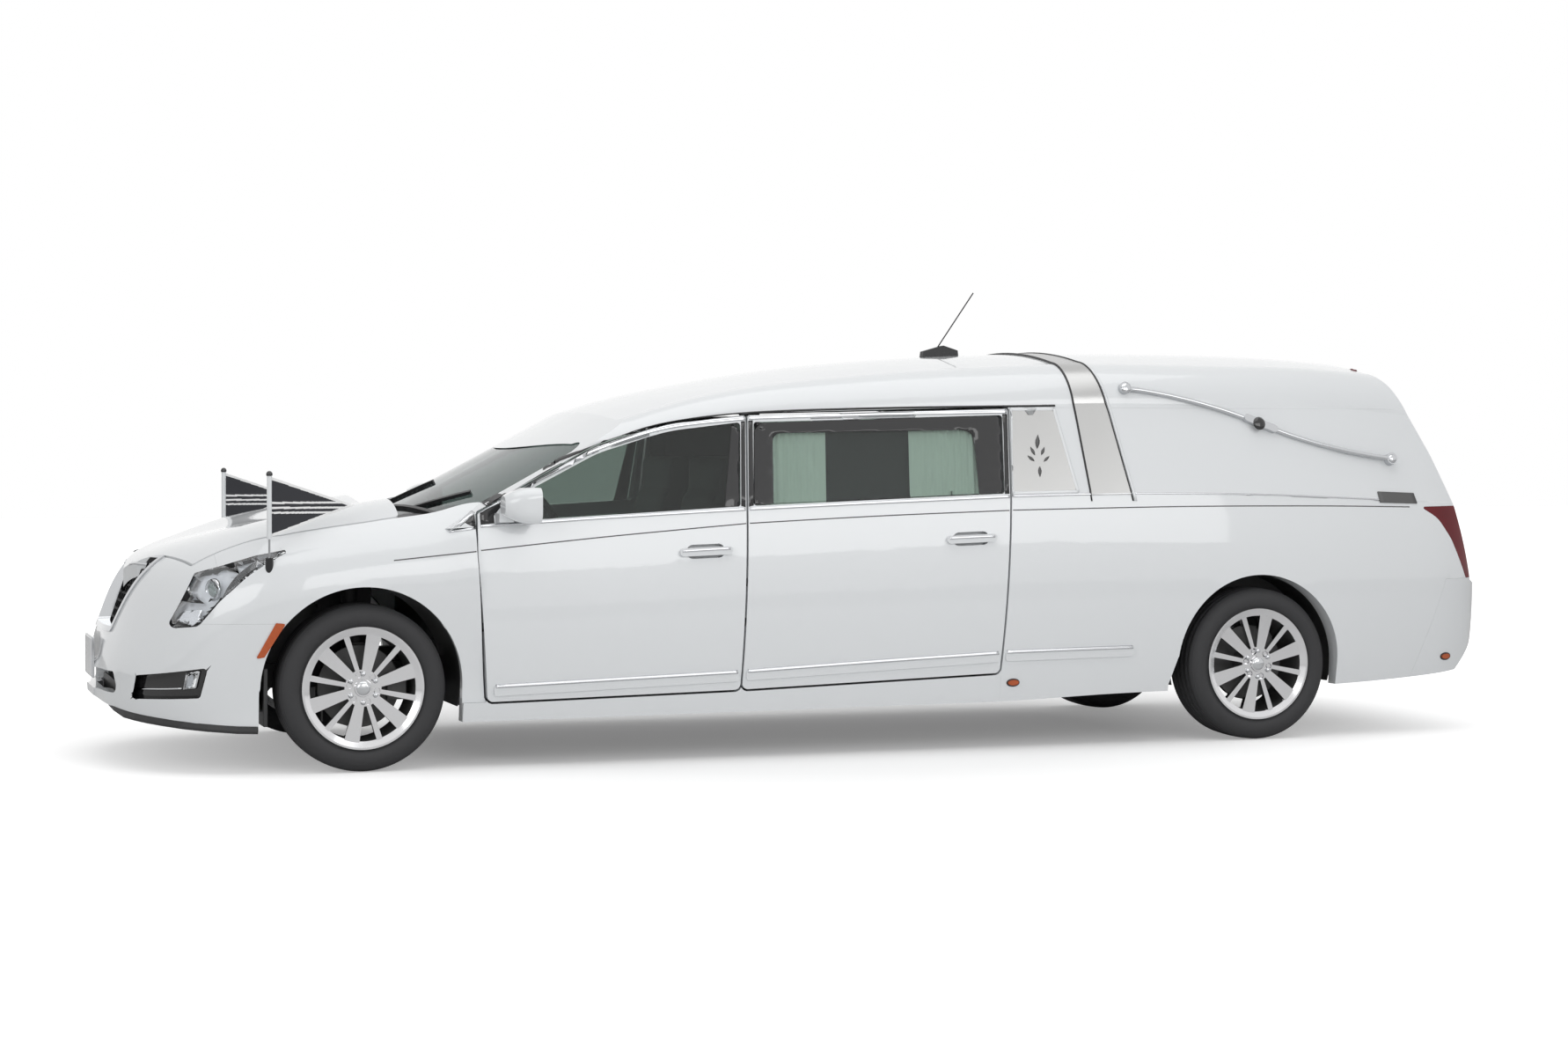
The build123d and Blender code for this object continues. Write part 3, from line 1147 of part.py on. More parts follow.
with BuildPart() as wheel_front_right:
    add(mirror(wheel_front_left.part, about=Plane.XZ, mode=Mode.PRIVATE))
wheel_front_right.part.label = "wheel_front_right"
export_step(wheel_front_right.part, "parts/wheel_front_right.step")

with BuildPart() as wheel_rear_left:
    add(wheel_front_left.part.moved(TO_REAR))
wheel_rear_left.part.label = "wheel_rear_left"
export_step(wheel_rear_left.part, "parts/wheel_rear_left.step")

with BuildPart() as wheel_rear_right:
    add(wheel_front_right.part.moved(TO_REAR))
wheel_rear_right.part.label = "wheel_rear_right"
export_step(wheel_rear_right.part, "parts/wheel_rear_right.step")

with BuildPart() as knuckle_front_right:
    add(mirror(knuckle_front_left.part, about=Plane.XZ, mode=Mode.PRIVATE))
knuckle_front_right.part.label = "knuckle_front_right"
export_step(knuckle_front_right.part, "parts/knuckle_front_right.step")

# Grille, trim, flags and roof fittings
GRILLE_FRAME = 22
GRILLE_DEPTH = 36
GRILLE_INNER = facing_prism(GRILLE_FACE, -600, 600, grow=-GRILLE_FRAME)
with BuildPart() as grille_surround:
    add(facing_prism(GRILLE_FACE, -600, 600, grow=-SEAM))
    add(GRILLE_INNER, mode=Mode.SUBTRACT)
    add(hood_prism(DOOR_GAP), mode=Mode.SUBTRACT)
    add(front_body(-5), mode=Mode.INTERSECT)
    add(front_body(GRILLE_DEPTH, FLOOR_Z), mode=Mode.SUBTRACT)
grille_surround.part.label = "grille_surround"
export_step(grille_surround.part, "parts/grille_surround.step")

CRATE_R = 1740
CRATE_LEAN = 18.5
CRATE_DEPTH = 24
CRATE_MID = (-862, 675)
CELL_PITCH = (56, 34)
CELL_BAR = 8
CRATE = Plane(
    origin=(station(CRATE_MID[0]), 0, CRATE_MID[1]),
    x_dir=(cos(radians(CRATE_LEAN)), 0, -sin(radians(CRATE_LEAN))),
    z_dir=(sin(radians(CRATE_LEAN)), 0, cos(radians(CRATE_LEAN))),
)
with BuildPart() as grille:
    with BuildSketch(CRATE):
        with Locations((CRATE_R, 0)):
            Circle(CRATE_R)
            Circle(CRATE_R - CRATE_DEPTH, mode=Mode.SUBTRACT)
        with Locations((100, 0)):
            Rectangle(300, 920, mode=Mode.INTERSECT)
    extrude(amount=230, both=True)
    add(facing_prism(GRILLE_FACE, -600, 600, grow=-GRILLE_FRAME - SEAM), mode=Mode.INTERSECT)
    add(hood_prism(DOOR_GAP), mode=Mode.SUBTRACT)
    with BuildSketch(section_plane(-1100)):
        with Locations((0, CRATE_MID[1])):
            with GridLocations(CELL_PITCH[0], CELL_PITCH[1], 15, 9):
                Rectangle(CELL_PITCH[0] - CELL_BAR, CELL_PITCH[1] - CELL_BAR)
    extrude(amount=500, mode=Mode.SUBTRACT)
grille.part.label = "grille"
export_step(grille.part, "parts/grille.step")

TRIM_OUT = even_inset(-4)
with BuildPart() as side_panels:
    add(left_prism(SIDE_PANEL))
    add(TRIM_OUT, mode=Mode.INTERSECT)
    add(SKIN_ROOM, mode=Mode.SUBTRACT)
    mirror(about=Plane.XZ)
side_panels.part.label = "side_panels"
export_step(side_panels.part, "parts/side_panels.step")

with BuildPart() as roof_band:
    add(cross_prism(ROOF_BAND))
    add(TRIM_OUT, mode=Mode.INTERSECT)
    add(SKIN_ROOM, mode=Mode.SUBTRACT)
roof_band.part.label = "roof_band"
export_step(roof_band.part, "parts/roof_band.step")

LANDAU_HALF = 667
LANDAU_BOW = 22
LANDAU_R = 11
LANDAU = Plane(
    origin=(station(4048), -802, 1401),
    x_dir=(0.9707, -0.054, -0.2348),
    z_dir=(0.0146, -0.931, 0.2747),
)
with BuildPart() as landau_bars:
    with BuildLine(LANDAU):
        ThreePointArc((-LANDAU_HALF, 0), (-LANDAU_HALF / 2, LANDAU_BOW), (0, 0))
        ThreePointArc((0, 0), (LANDAU_HALF / 2, -LANDAU_BOW), (LANDAU_HALF, 0))
    path = landau_bars.pending_edges_as_wire
    with BuildSketch(Plane(origin=path @ 0, z_dir=path % 0)):
        Circle(LANDAU_R)
    sweep(path=path)
    with BuildSketch(LANDAU.offset(-80)):
        with Locations((-LANDAU_HALF, 0), (LANDAU_HALF, 0)):
            Circle(27)
    extrude(amount=90)
    with BuildSketch(LANDAU.offset(-30)):
        SlotOverall(170, 34, -7.5)
    extrude(amount=46)
    add(SKIN_ROOM, mode=Mode.SUBTRACT)
    mirror(about=Plane.XZ)
landau_bars.part.label = "landau_bars"
export_step(landau_bars.part, "parts/landau_bars.step")

with BuildPart() as antenna:
    with BuildSketch(Plane.XZ.offset(-20)):
        with BuildLine():
            Polyline(
                (station(2733), 1690),
                (station(2740), 1736),
                (station(2840), 1764),
                (station(2910), 1742),
                (station(2916), 1690),
                close=True,
            )
        make_face()
    extrude(amount=40)
    add(SKIN_ROOM, mode=Mode.SUBTRACT)
    whip = Vector(station(2995), 0, 2009) - Vector(station(2805), 0, 1738)
    with BuildSketch(Plane(origin=(station(2805), 0, 1738), z_dir=whip)):
        Circle(3)
    extrude(amount=whip.length)
antenna.part.label = "antenna"
export_step(antenna.part, "parts/antenna.step")

SCREEN_FACE = Plane(
    origin=(station(SCREEN_FOOT[0]), 0, SCREEN_FOOT[1]),
    x_dir=(0, 1, 0),
    z_dir=(-sin(radians(SCREEN_RAKE)), 0, cos(radians(SCREEN_RAKE))),
)
with BuildPart() as wipers:
    with BuildSketch(SCREEN_FACE.offset(-200)):
        with BuildLine():
            Polyline((-640, -30), (-40, 22), (-38, 36), (-640, -14), close=True)
        make_face()
        with BuildLine():
            Polyline((-606, -196), (-352, 6), (-338, -6), (-586, -206), close=True)
        make_face()
        with BuildLine():
            Polyline((0, 14), (620, -34), (622, -18), (0, 30), close=True)
        make_face()
        with BuildLine():
            Polyline((60, -196), (300, 2), (314, -10), (80, -206), close=True)
        make_face()
    extrude(amount=400)
    add(cut_from(screen_drum(-10), cut=[screen_drum(GLASS_RECESS - SEAM)]), mode=Mode.INTERSECT)
    add(COWL_ROOM, mode=Mode.SUBTRACT)
wipers.part.label = "wipers"
export_step(wipers.part, "parts/wipers.step")

Flag = namedtuple("Flag", "aft side")
FLAGS = [Flag(-370, -1), Flag(-319, 1)]
FLAG_Y = 876
STAFF_R = 10
ROD_R = 4.5
CLIP_R = 16
FINIAL_R = 13
CLIP_LOW, CLIP_TOP = 776, 860
STAFF_LOW, STAFF_TOP = 934, 1184
PENNANT_LOW, PENNANT_TOP, PENNANT_TIP = 942, 1180, 1066
PENNANT_LENGTH = 332
PENNANT_THICK = 3
with BuildPart() as flag_staffs:
    for flag in FLAGS:
        spot = (station(flag.aft), flag.side * FLAG_Y)
        add(cut_from(post_at(*spot, CLIP_R, (CLIP_LOW, CLIP_TOP)), cut=[NOSE_ROOM]))
        add(post_at(*spot, ROD_R, (CLIP_TOP - ROD_R, STAFF_LOW + ROD_R)))
        add(post_at(*spot, STAFF_R, (STAFF_LOW, STAFF_TOP)))
        with Locations((*spot, STAFF_TOP + FINIAL_R / 2)):
            Sphere(FINIAL_R)
flag_staffs.part.label = "flag_staffs"
export_step(flag_staffs.part, "parts/flag_staffs.step")

with BuildPart() as pennants:
    for flag in FLAGS:
        hem = station(flag.aft) + STAFF_R + SEAM
        with BuildSketch(Plane.XZ.offset(-flag.side * FLAG_Y - PENNANT_THICK / 2)):
            with BuildLine():
                Polyline((hem, PENNANT_LOW), (hem, PENNANT_TOP), (hem + PENNANT_LENGTH, PENNANT_TIP), close=True)
            make_face()
        extrude(amount=PENNANT_THICK)
pennants.part.label = "pennants"
export_step(pennants.part, "parts/pennants.step")

FRONT_MARKER = [(-425, 462, 5), (-392, 468, 5), (-312, 600, 5), (-350, 604, 5)]
SIDE_MARKERS = [(2810, 284), (4966, 344)]
SIDE_MARKER_R = (26, 13)
SIDE_MARKER_PROUD, SIDE_MARKER_REACH = 7, 140
with BuildPart() as side_markers:
    with BuildSketch(Plane.XZ.offset(HALF_WIDTH - SIDE_MARKER_REACH)):
        for aft, z in SIDE_MARKERS:
            with Locations((station(aft), z)):
                Ellipse(*SIDE_MARKER_R)
    extrude(amount=SIDE_MARKER_REACH)
    add(even_inset(-SIDE_MARKER_PROUD), mode=Mode.INTERSECT)
    add(CABIN.moved(Location((0, -SEAM, 0))), mode=Mode.SUBTRACT)

with BuildPart() as marker_lamps:
    add(left_prism(FRONT_MARKER))
    add(front_body(-4), mode=Mode.INTERSECT)
    add(NOSE_ROOM, mode=Mode.SUBTRACT)
    add(side_markers.part)
    mirror(about=Plane.XZ)
marker_lamps.part.label = "marker_lamps"
export_step(marker_lamps.part, "parts/marker_lamps.step")
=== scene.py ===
# %% [markdown]
# # A white landau hearse
# The solids of this car come from its CAD model: panels, doors, glass, wheels and the running gear.
# This file dresses them. It gives every solid a finish, adds the thin trim that a CAD model leaves out,
# and hangs the curtains and flags as real cloth. Everything is in metres, with X to the rear,
# Y to the car's right and Z up, so a point read off the CAD model needs no conversion.

# %% Load the car as a fixed frame
import json
import math

import bmesh
import bpy
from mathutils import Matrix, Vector
from mathutils.bvhtree import BVHTree
from mathutils.geometry import tessellate_polygon

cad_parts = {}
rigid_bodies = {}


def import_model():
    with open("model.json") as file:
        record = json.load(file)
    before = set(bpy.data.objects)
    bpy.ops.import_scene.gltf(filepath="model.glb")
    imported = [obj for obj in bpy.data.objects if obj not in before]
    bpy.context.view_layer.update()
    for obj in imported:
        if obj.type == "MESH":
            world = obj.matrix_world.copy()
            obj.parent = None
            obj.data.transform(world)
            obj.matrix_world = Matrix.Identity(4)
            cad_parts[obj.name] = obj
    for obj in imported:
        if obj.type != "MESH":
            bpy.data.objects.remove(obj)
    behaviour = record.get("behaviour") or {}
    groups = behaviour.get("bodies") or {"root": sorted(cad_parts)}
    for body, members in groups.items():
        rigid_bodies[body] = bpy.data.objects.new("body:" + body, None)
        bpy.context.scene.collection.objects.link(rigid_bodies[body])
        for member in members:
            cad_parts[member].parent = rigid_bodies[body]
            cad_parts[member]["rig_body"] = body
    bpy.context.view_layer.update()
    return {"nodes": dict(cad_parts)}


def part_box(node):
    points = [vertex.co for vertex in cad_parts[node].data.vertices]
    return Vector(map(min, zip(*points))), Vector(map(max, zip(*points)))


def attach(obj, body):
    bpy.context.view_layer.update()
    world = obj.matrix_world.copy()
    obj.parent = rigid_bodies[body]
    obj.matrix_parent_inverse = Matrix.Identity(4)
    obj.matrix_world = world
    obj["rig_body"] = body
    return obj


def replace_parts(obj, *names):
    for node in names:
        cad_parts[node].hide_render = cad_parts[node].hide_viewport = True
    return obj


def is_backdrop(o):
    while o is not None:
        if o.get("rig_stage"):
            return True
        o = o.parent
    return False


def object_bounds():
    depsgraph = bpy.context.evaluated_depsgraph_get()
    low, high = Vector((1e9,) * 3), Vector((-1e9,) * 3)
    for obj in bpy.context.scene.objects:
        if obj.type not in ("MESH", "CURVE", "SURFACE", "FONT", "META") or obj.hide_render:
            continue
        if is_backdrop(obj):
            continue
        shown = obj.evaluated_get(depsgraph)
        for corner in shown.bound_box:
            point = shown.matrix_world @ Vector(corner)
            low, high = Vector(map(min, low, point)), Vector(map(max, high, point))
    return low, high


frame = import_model()
nodes = frame["nodes"]
FRONT_AXLE = -2.1025

# %% [markdown]
# ## Finishes
# Each finish is one Principled shader. A value that is the same all over the surface is typed straight
# into the shader's own socket. Only what varies, such as the ripple in lacquer or the grain of brushed
# steel, is made with texture nodes, in object space so that no unwrapping is needed.


# %% A helper for finishes
def finish(name, colour, roughness, metal=0.0, **sockets):
    made = bpy.data.materials.new(name)
    made.use_nodes = True
    shader = made.node_tree.nodes["Principled BSDF"]
    shader.inputs["Base Color"].default_value = (*colour, 1)
    shader.inputs["Roughness"].default_value = roughness
    shader.inputs["Metallic"].default_value = metal
    for socket, value in sockets.items():
        shader.inputs[socket.replace("_", " ").title().replace("Ior", "IOR")].default_value = value
    made.diffuse_color = (*colour, 1)
    return made


def texture(made, kind, scale, stretch=(1, 1, 1), **settings):
    tree = made.node_tree
    where = tree.nodes.new("ShaderNodeTexCoord")
    placed = tree.nodes.new("ShaderNodeMapping")
    placed.inputs["Scale"].default_value = stretch
    made_texture = tree.nodes.new("ShaderNodeTex" + kind)
    made_texture.inputs["Scale"].default_value = scale
    for socket, value in settings.items():
        made_texture.inputs[socket.title()].default_value = value
    tree.links.new(where.outputs["Object"], placed.inputs["Vector"])
    tree.links.new(placed.outputs["Vector"], made_texture.inputs["Vector"])
    return made_texture.outputs[0]


def bumpy(made, height, strength, distance):
    tree = made.node_tree
    bump = tree.nodes.new("ShaderNodeBump")
    bump.inputs["Strength"].default_value = strength
    bump.inputs["Distance"].default_value = distance
    tree.links.new(height, bump.inputs["Height"])
    tree.links.new(bump.outputs["Normal"], tree.nodes["Principled BSDF"].inputs["Normal"])
    return made


def varied(made, value, socket, low, high):
    tree = made.node_tree
    ramp = tree.nodes.new("ShaderNodeValToRGB")
    for stop, level in zip(ramp.color_ramp.elements, (low, high)):
        stop.color = (*level, 1) if hasattr(level, "__len__") else (level, level, level, 1)
    tree.links.new(value, ramp.inputs["Fac"])
    tree.links.new(ramp.outputs["Color"], tree.nodes["Principled BSDF"].inputs[socket])
    return made


# %% [markdown]
# The body is sprayed in solid white under a clear lacquer. The lacquer is the shader's coat layer, and a
# very fine noise in the bump stands for the slight ripple that sprayed paint always has.

# %% Paint, glass and bright metal
paint = finish("white_lacquer", (0.735, 0.755, 0.77), 0.32, coat_weight=1.0, coat_roughness=0.035)
bumpy(paint, texture(paint, "Noise", 700, detail=2.0), 0.02, 0.0004)
side_tint = finish("tinted_side_glass", (0.30, 0.36, 0.33), 0.02, transmission_weight=1.0, ior=1.45)
dark_tint = finish("dark_rear_glass", (0.62, 0.70, 0.66), 0.02, transmission_weight=1.0, ior=1.45)
screen_tint = finish("clear_screen_glass", (0.24, 0.28, 0.28), 0.02, transmission_weight=1.0, ior=1.22)
for pane in (side_tint, dark_tint, screen_tint):
    bumpy(pane, texture(pane, "Noise", 3.0), 0.01, 0.002)
bright = finish("polished_trim", (0.56, 0.57, 0.585), 0.08, 1.0)
varied(bright, texture(bright, "Noise", 40), "Roughness", 0.05, 0.13)
brushed = finish("brushed_stainless", (0.47, 0.47, 0.465), 0.3, 1.0, anisotropic=0.5)
varied(brushed, texture(brushed, "Noise", 60, (1, 1, 40), detail=6.0), "Roughness", 0.22, 0.42)
alloy = finish("polished_wheel", (0.68, 0.68, 0.69), 0.14, 1.0)
varied(alloy, texture(alloy, "Noise", 25, detail=4.0), "Roughness", 0.09, 0.2)
print("painted, glazed and bright finishes:", len(bpy.data.materials))

# %% [markdown]
# Rubber, moulded plastics and castings are dull. One flat colour would look like paint, so a fine grain in
# the bump roughens them. The red and amber lenses are drawn as coloured plastic rather than as clear
# material over a bulb, which looks the same by daylight and renders faster.

# %% Rubber, plastics, castings and lamp lenses
rubber = finish("tyre_rubber", (0.028, 0.028, 0.03), 0.72)
bumpy(rubber, texture(rubber, "Noise", 260, detail=5.0), 0.25, 0.0008)
black = finish("grained_black", (0.018, 0.018, 0.019), 0.5)
bumpy(black, texture(black, "Voronoi", 900), 0.12, 0.0004)
gloss_black = finish("gloss_black", (0.012, 0.012, 0.013), 0.12, coat_weight=0.4)
varied(gloss_black, texture(gloss_black, "Noise", 30), "Roughness", 0.08, 0.18)
grille_black = finish("matt_grille_black", (0.008, 0.008, 0.009), 0.65, specular_ior_level=0.1)
bumpy(grille_black, texture(grille_black, "Noise", 300, detail=3.0), 0.1, 0.0004)
under = finish("satin_underbody", (0.03, 0.03, 0.032), 0.6)
bumpy(under, texture(under, "Noise", 90, detail=6.0), 0.3, 0.001)
casting = finish("rough_casting", (0.12, 0.12, 0.12), 0.62, 0.7)
bumpy(casting, texture(casting, "Noise", 150, detail=8.0), 0.5, 0.001)
lens = finish("clear_lens", (0.93, 0.95, 0.97), 0.03, transmission_weight=1.0, ior=1.49)
bumpy(lens, texture(lens, "Noise", 5.0), 0.01, 0.001)
red_lens = finish("dark_red_lens", (0.12, 0.004, 0.008), 0.2, coat_weight=0.15, specular_ior_level=0.25)
varied(red_lens, texture(red_lens, "Noise", 12), "Base Color", (0.10, 0.003, 0.007), (0.16, 0.006, 0.011))
amber = finish("amber_lens", (0.60, 0.12, 0.012), 0.2, coat_weight=0.3)
varied(amber, texture(amber, "Noise", 60), "Base Color", (0.40, 0.055, 0.005), (0.52, 0.10, 0.01))
print("dark finishes and lenses:", len(bpy.data.materials))

# %% [markdown]
# The seats are covered in hide. The curtains and flags are cloth with a fine weave in the bump, and the
# dark sheet behind the curtains, which is painted shade in the middle of the window, is plain. The deck in
# the load space is varnished timber, whose grain is a noise drawn out lengthwise.

# %% Hide, cloth and timber
hide = finish("black_hide", (0.03, 0.03, 0.031), 0.5)
bumpy(hide, texture(hide, "Noise", 120, detail=4.0), 0.1, 0.0005)
curtain_cloth = finish("pleated_curtain", (0.74, 0.80, 0.75), 0.85, sheen_weight=0.3)
bumpy(curtain_cloth, texture(curtain_cloth, "Wave", 900, detail=1.0), 0.15, 0.0004)
flag_white = finish("white_flag_cloth", (0.83, 0.83, 0.83), 0.8, sheen_weight=0.3)
bumpy(flag_white, texture(flag_white, "Wave", 1400), 0.15, 0.0002)
flag_black = finish("black_flag_cloth", (0.02, 0.021, 0.026), 0.8, sheen_weight=0.3)
bumpy(flag_black, texture(flag_black, "Wave", 1400), 0.15, 0.0002)
# This dark cloth is painted shade: a sheet that blacks out the middle of the rear window.
shade_sheet_cloth = finish("painted_shade_sheet_cloth", (0.022, 0.023, 0.026), 0.9)
varied(shade_sheet_cloth, texture(shade_sheet_cloth, "Noise", 25), "Roughness", 0.85, 0.95)
deck = finish("varnished_deck", (0.22, 0.12, 0.06), 0.3, coat_weight=0.6)
deck_grain = texture(deck, "Noise", 8, (1, 14, 14), detail=6.0)
varied(deck, deck_grain, "Base Color", (0.16, 0.08, 0.035), (0.30, 0.17, 0.085))
print("soft and timber finishes:", len(bpy.data.materials))

# %% [markdown]
# Now each solid takes its finish. Solids that share a finish are listed together, which makes it plain
# what the car is made of. A solid left out of the table is printed by the last line.

# %% Dress the solids
FINISH_OF = {
    paint: "front_fenders front_bumper hood door_front_left door_front_right door_rear_left "
    "door_rear_right roof roof_sides quarter_panels rear_bumper sill_panels tail_door flag_staffs",
    side_tint: "glass_front_left glass_front_right",
    dark_tint: "glass_rear_left glass_rear_right tail_glass",
    screen_tint: "windscreen",
    lens: "headlamps",
    red_lens: "tail_lamps",
    amber: "marker_lamps",
    curtain_cloth: "curtain_left curtain_right",
    flag_black: "pennants",
    hide: "seats",
    black: "dashboard cowl wipers antenna wheel_liners",
    grille_black: "grille",
    under: "floor_pan door_pillars tail_post front_frame rear_axle",
    deck: "bier_deck",
    bright: "landau_bars grille_surround",
    brushed: "side_panels roof_band",
    alloy: "wheel_front_left wheel_front_right wheel_rear_left wheel_rear_right",
    rubber: "tyre_front_left tyre_front_right tyre_rear_left tyre_rear_right",
    casting: "knuckle_front_left knuckle_front_right engine",
}
for surface, names in FINISH_OF.items():
    for name in names.split():
        mesh = nodes[name].data
        mesh.materials.clear()
        mesh.materials.append(surface)
undressed = set(nodes) - {name for names in FINISH_OF.values() for name in names.split()}
print("undressed solids:", sorted(undressed))

# %% [markdown]
# ## Trim that lies on the skin
# Chrome strips, seals and stripes follow panels that curve in every direction. Typing their points by hand
# would never fit, so each one is drawn flat in side view, in millimetres aft of the front axle and above
# the ground, and a ray is sent in from the car's left to find the panel behind each point.


# %% Feel for the skin
MIRROR_LOW = 0.95
RAY_FROM, DEEPEST, USUAL_SIDE = -1.5, -0.3, -0.9


def skin_of(*names, widest=2.0):
    points, faces = [], []
    for name in names:
        mesh, start = nodes[name].data, len(points)
        points += [vertex.co for vertex in mesh.vertices]
        kept = [f for f in mesh.polygons if abs(f.center.y) < widest or f.center.z < MIRROR_LOW]
        faces += [[start + i for i in face.vertices] for face in kept]
    return BVHTree.FromPolygons(points, faces)


def touch(skin, x, z, proud):
    start = Vector((x / 1000 + FRONT_AXLE, RAY_FROM, z / 1000))
    hit, normal = skin.ray_cast(start, Vector((0, 1, 0)))[:2]
    if hit is None or hit.y > DEEPEST:
        hit, normal = skin.find_nearest(Vector((start.x, USUAL_SIDE, start.z)))[:2]
    return hit + normal * (-proud if normal.y > 0 else proud)


whole_door = skin_of("door_front_left")
print("front door skin stands at", [round(v, 3) for v in touch(whole_door, 1000, 700, 0)])

# %% [markdown]
# Every added piece rides on one body of the car, so that it moves with its door or its wheel. Most pieces
# are measured on the left side only, and a mirrored twin is made for the right. A mirror modifier could do
# that too, but both halves would then ride on the same door.


# %% Keep a piece and its twin on the other side
def piece(name, points, faces, surface, body, smooth=True):
    mesh = bpy.data.meshes.new(name)
    mesh.from_pydata([tuple(p) for p in points], [], faces)
    mesh.validate()
    tidy = bmesh.new()
    tidy.from_mesh(mesh)
    bmesh.ops.recalc_face_normals(tidy, faces=tidy.faces)
    tidy.to_mesh(mesh)
    tidy.free()
    for face in mesh.polygons:
        face.use_smooth = smooth
    mesh.materials.append(surface)
    made = bpy.data.objects.new(name, mesh)
    bpy.context.scene.collection.objects.link(made)
    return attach(made, body)


def twin(left, points, faces, smooth=True):
    name = left.name.replace("left", "right")
    body = left["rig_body"].replace("left", "right")
    flipped = [(p[0], -p[1], p[2]) for p in points]
    return piece(name, flipped, [tuple(reversed(f)) for f in faces], left.data.materials[0], body, smooth)


def on_both_sides(name, points, faces, surface, body, smooth=True):
    left = piece(name + "_left", points, faces, surface, body, smooth)
    return left, twin(left, points, faces, smooth)


# %% [markdown]
# A strip is a ribbon with a crowned section. Its route is smoothed first, so a few measured points make a
# fair line, and the section is laid across the route at every step.


# %% Strips
def eased(p, q, r, s, t):
    bend, twist = 2 * p - 5 * q + 4 * r - s, 3 * q - p - 3 * r + s
    return 0.5 * (2 * q + (r - p) * t + bend * t * t + twist * t**3)


def fair(route, step=18.0):
    ends = [route[0], *route, route[-1]]
    line = []
    for a, b, c, d in zip(ends, ends[1:], ends[2:], ends[3:]):
        count = max(2, int(math.dist(b, c) / step))
        for k in range(count):
            line.append(tuple(eased(*four, k / count) for four in zip(a, b, c, d)))
    return line + [route[-1]]


CROWNED = [(-0.5, -0.6), (-0.46, 0.55), (-0.25, 0.92), (0, 1), (0.25, 0.92), (0.46, 0.55), (0.5, -0.6)]


def ribbon(rows):
    across = len(rows[0])
    points = [p for row in rows for p in row]
    faces = []
    for i in range(len(rows) - 1):
        for j in range(across):
            k = (j + 1) % across
            faces.append((i * across + j, i * across + k, (i + 1) * across + k, (i + 1) * across + j))
    faces += [tuple(range(across)), tuple(range(len(points) - across, len(points)))]
    return points, faces


def strip(name, skin, route, width, proud, surface, body):
    line = fair(route)
    rows = []
    for i, (x, z) in enumerate(line):
        before, after = line[max(i - 1, 0)], line[min(i + 1, len(line) - 1)]
        run = math.dist(before, after) or 1.0
        side = ((before[1] - after[1]) / run, (after[0] - before[0]) / run)
        row = []
        for u, h in CROWNED:
            row.append(touch(skin, x + side[0] * u * width, z + side[1] * u * width, h * proud / 1000))
        rows.append(row)
    return on_both_sides(name, *ribbon(rows), surface, body)


# %% [markdown]
# Two bright lines follow the side windows: the belt under the glass and the bar over it. Both are cut where
# a door ends, so that each piece swings with its door. The drip rail above them is black plastic and stays
# on the body. The mirror is part of the door, so faces that stand wider than the window are skipped and the
# strips run on behind it.

# %% Belt, window bars and drip rail
BODY, FRONT, REAR = "body", "door_front_left", "door_rear_left"
MIRROR_FROM = 0.9
front_door = skin_of(FRONT, widest=MIRROR_FROM)
rear_door = skin_of(REAR)
quarter = skin_of("quarter_panels", "roof", "roof_sides")
roof_skin = skin_of("roof", "front_fenders")


def lay(lines):
    for name, skin, body, width, proud, surface, route in lines:
        strip(name, skin, route, width, proud, surface, body)
    print("laid on both sides:", ", ".join(line[0] for line in lines))


BELT_TAIL = [(3390, 1095), (3990, 1087), (4500, 1066), (4790, 1050)]
WINDOW_BAR = [(560, 1080), (780, 1197), (985, 1290), (1290, 1380), (1634, 1419)]
DRIP = [(500, 1073), (780, 1224), (1073, 1335), (1300, 1398), (1654, 1441), (2250, 1464), (3060, 1478)]
lay(
    [
        ("belt_front", front_door, FRONT, 13, 5, bright, [(478, 977), (1000, 1008), (1602, 1038)]),
        ("belt_rear", rear_door, REAR, 13, 5, bright, [(1622, 1039), (2200, 1062), (2796, 1084)]),
        ("belt_quarter", quarter, BODY, 11, 4, bright, [(2814, 1086), (3100, 1092), (3385, 1095)]),
        ("belt_tail", quarter, BODY, 7, 2.5, bright, BELT_TAIL),
        ("window_bar_front", front_door, FRONT, 19, 5, bright, WINDOW_BAR),
        ("window_bar_rear", rear_door, REAR, 19, 5, bright, [(1652, 1421), (2250, 1440), (2826, 1452)]),
        ("drip_rail", roof_skin, BODY, 9, 5, black, DRIP),
    ]
)

# %% [markdown]
# A thin grey stripe runs from the wing to the tail below the belt, and a bright moulding runs low along the
# doors towards the rear wheel. They are laid by the same helper, from the same kind of table.

# %% Stripe and lower mouldings
STRIPE = (5, 0.9, casting)
MOULDING = (15, 7, bright)
fender = skin_of("front_fenders")
STRIPE_QUARTER = [(2808, 1026), (3600, 1036), (4300, 1034), (4770, 1026)]
lay(
    [
        ("stripe_fender", fender, BODY, *STRIPE, [(118, 845), (300, 862), (452, 877)]),
        ("stripe_front", whole_door, FRONT, *STRIPE, [(476, 880), (1000, 930), (1602, 979)]),
        ("stripe_rear", rear_door, REAR, *STRIPE, [(1618, 980), (2200, 1006), (2792, 1025)]),
        ("stripe_quarter", quarter, BODY, *STRIPE, STRIPE_QUARTER),
        ("moulding_front", front_door, FRONT, *MOULDING, [(536, 331), (1000, 346), (1560, 364)]),
        ("moulding_rear", rear_door, REAR, *MOULDING, [(1606, 366), (2200, 394), (2732, 416)]),
        ("moulding_quarter", quarter, BODY, *MOULDING, [(2774, 419), (3100, 424), (3366, 427)]),
    ]
)

# %% [markdown]
# The rear side glass has a wide black band printed round its edge, with a rounded opening for the curtains.
# It is a flat figure with a hole, cut into triangles, refined, and then pressed onto the glass. The narrow
# black covers on the pillars beside the glass are made in the same way.


# %% Printed bands and dark pillar covers
LONGEST_REACH = 0.45


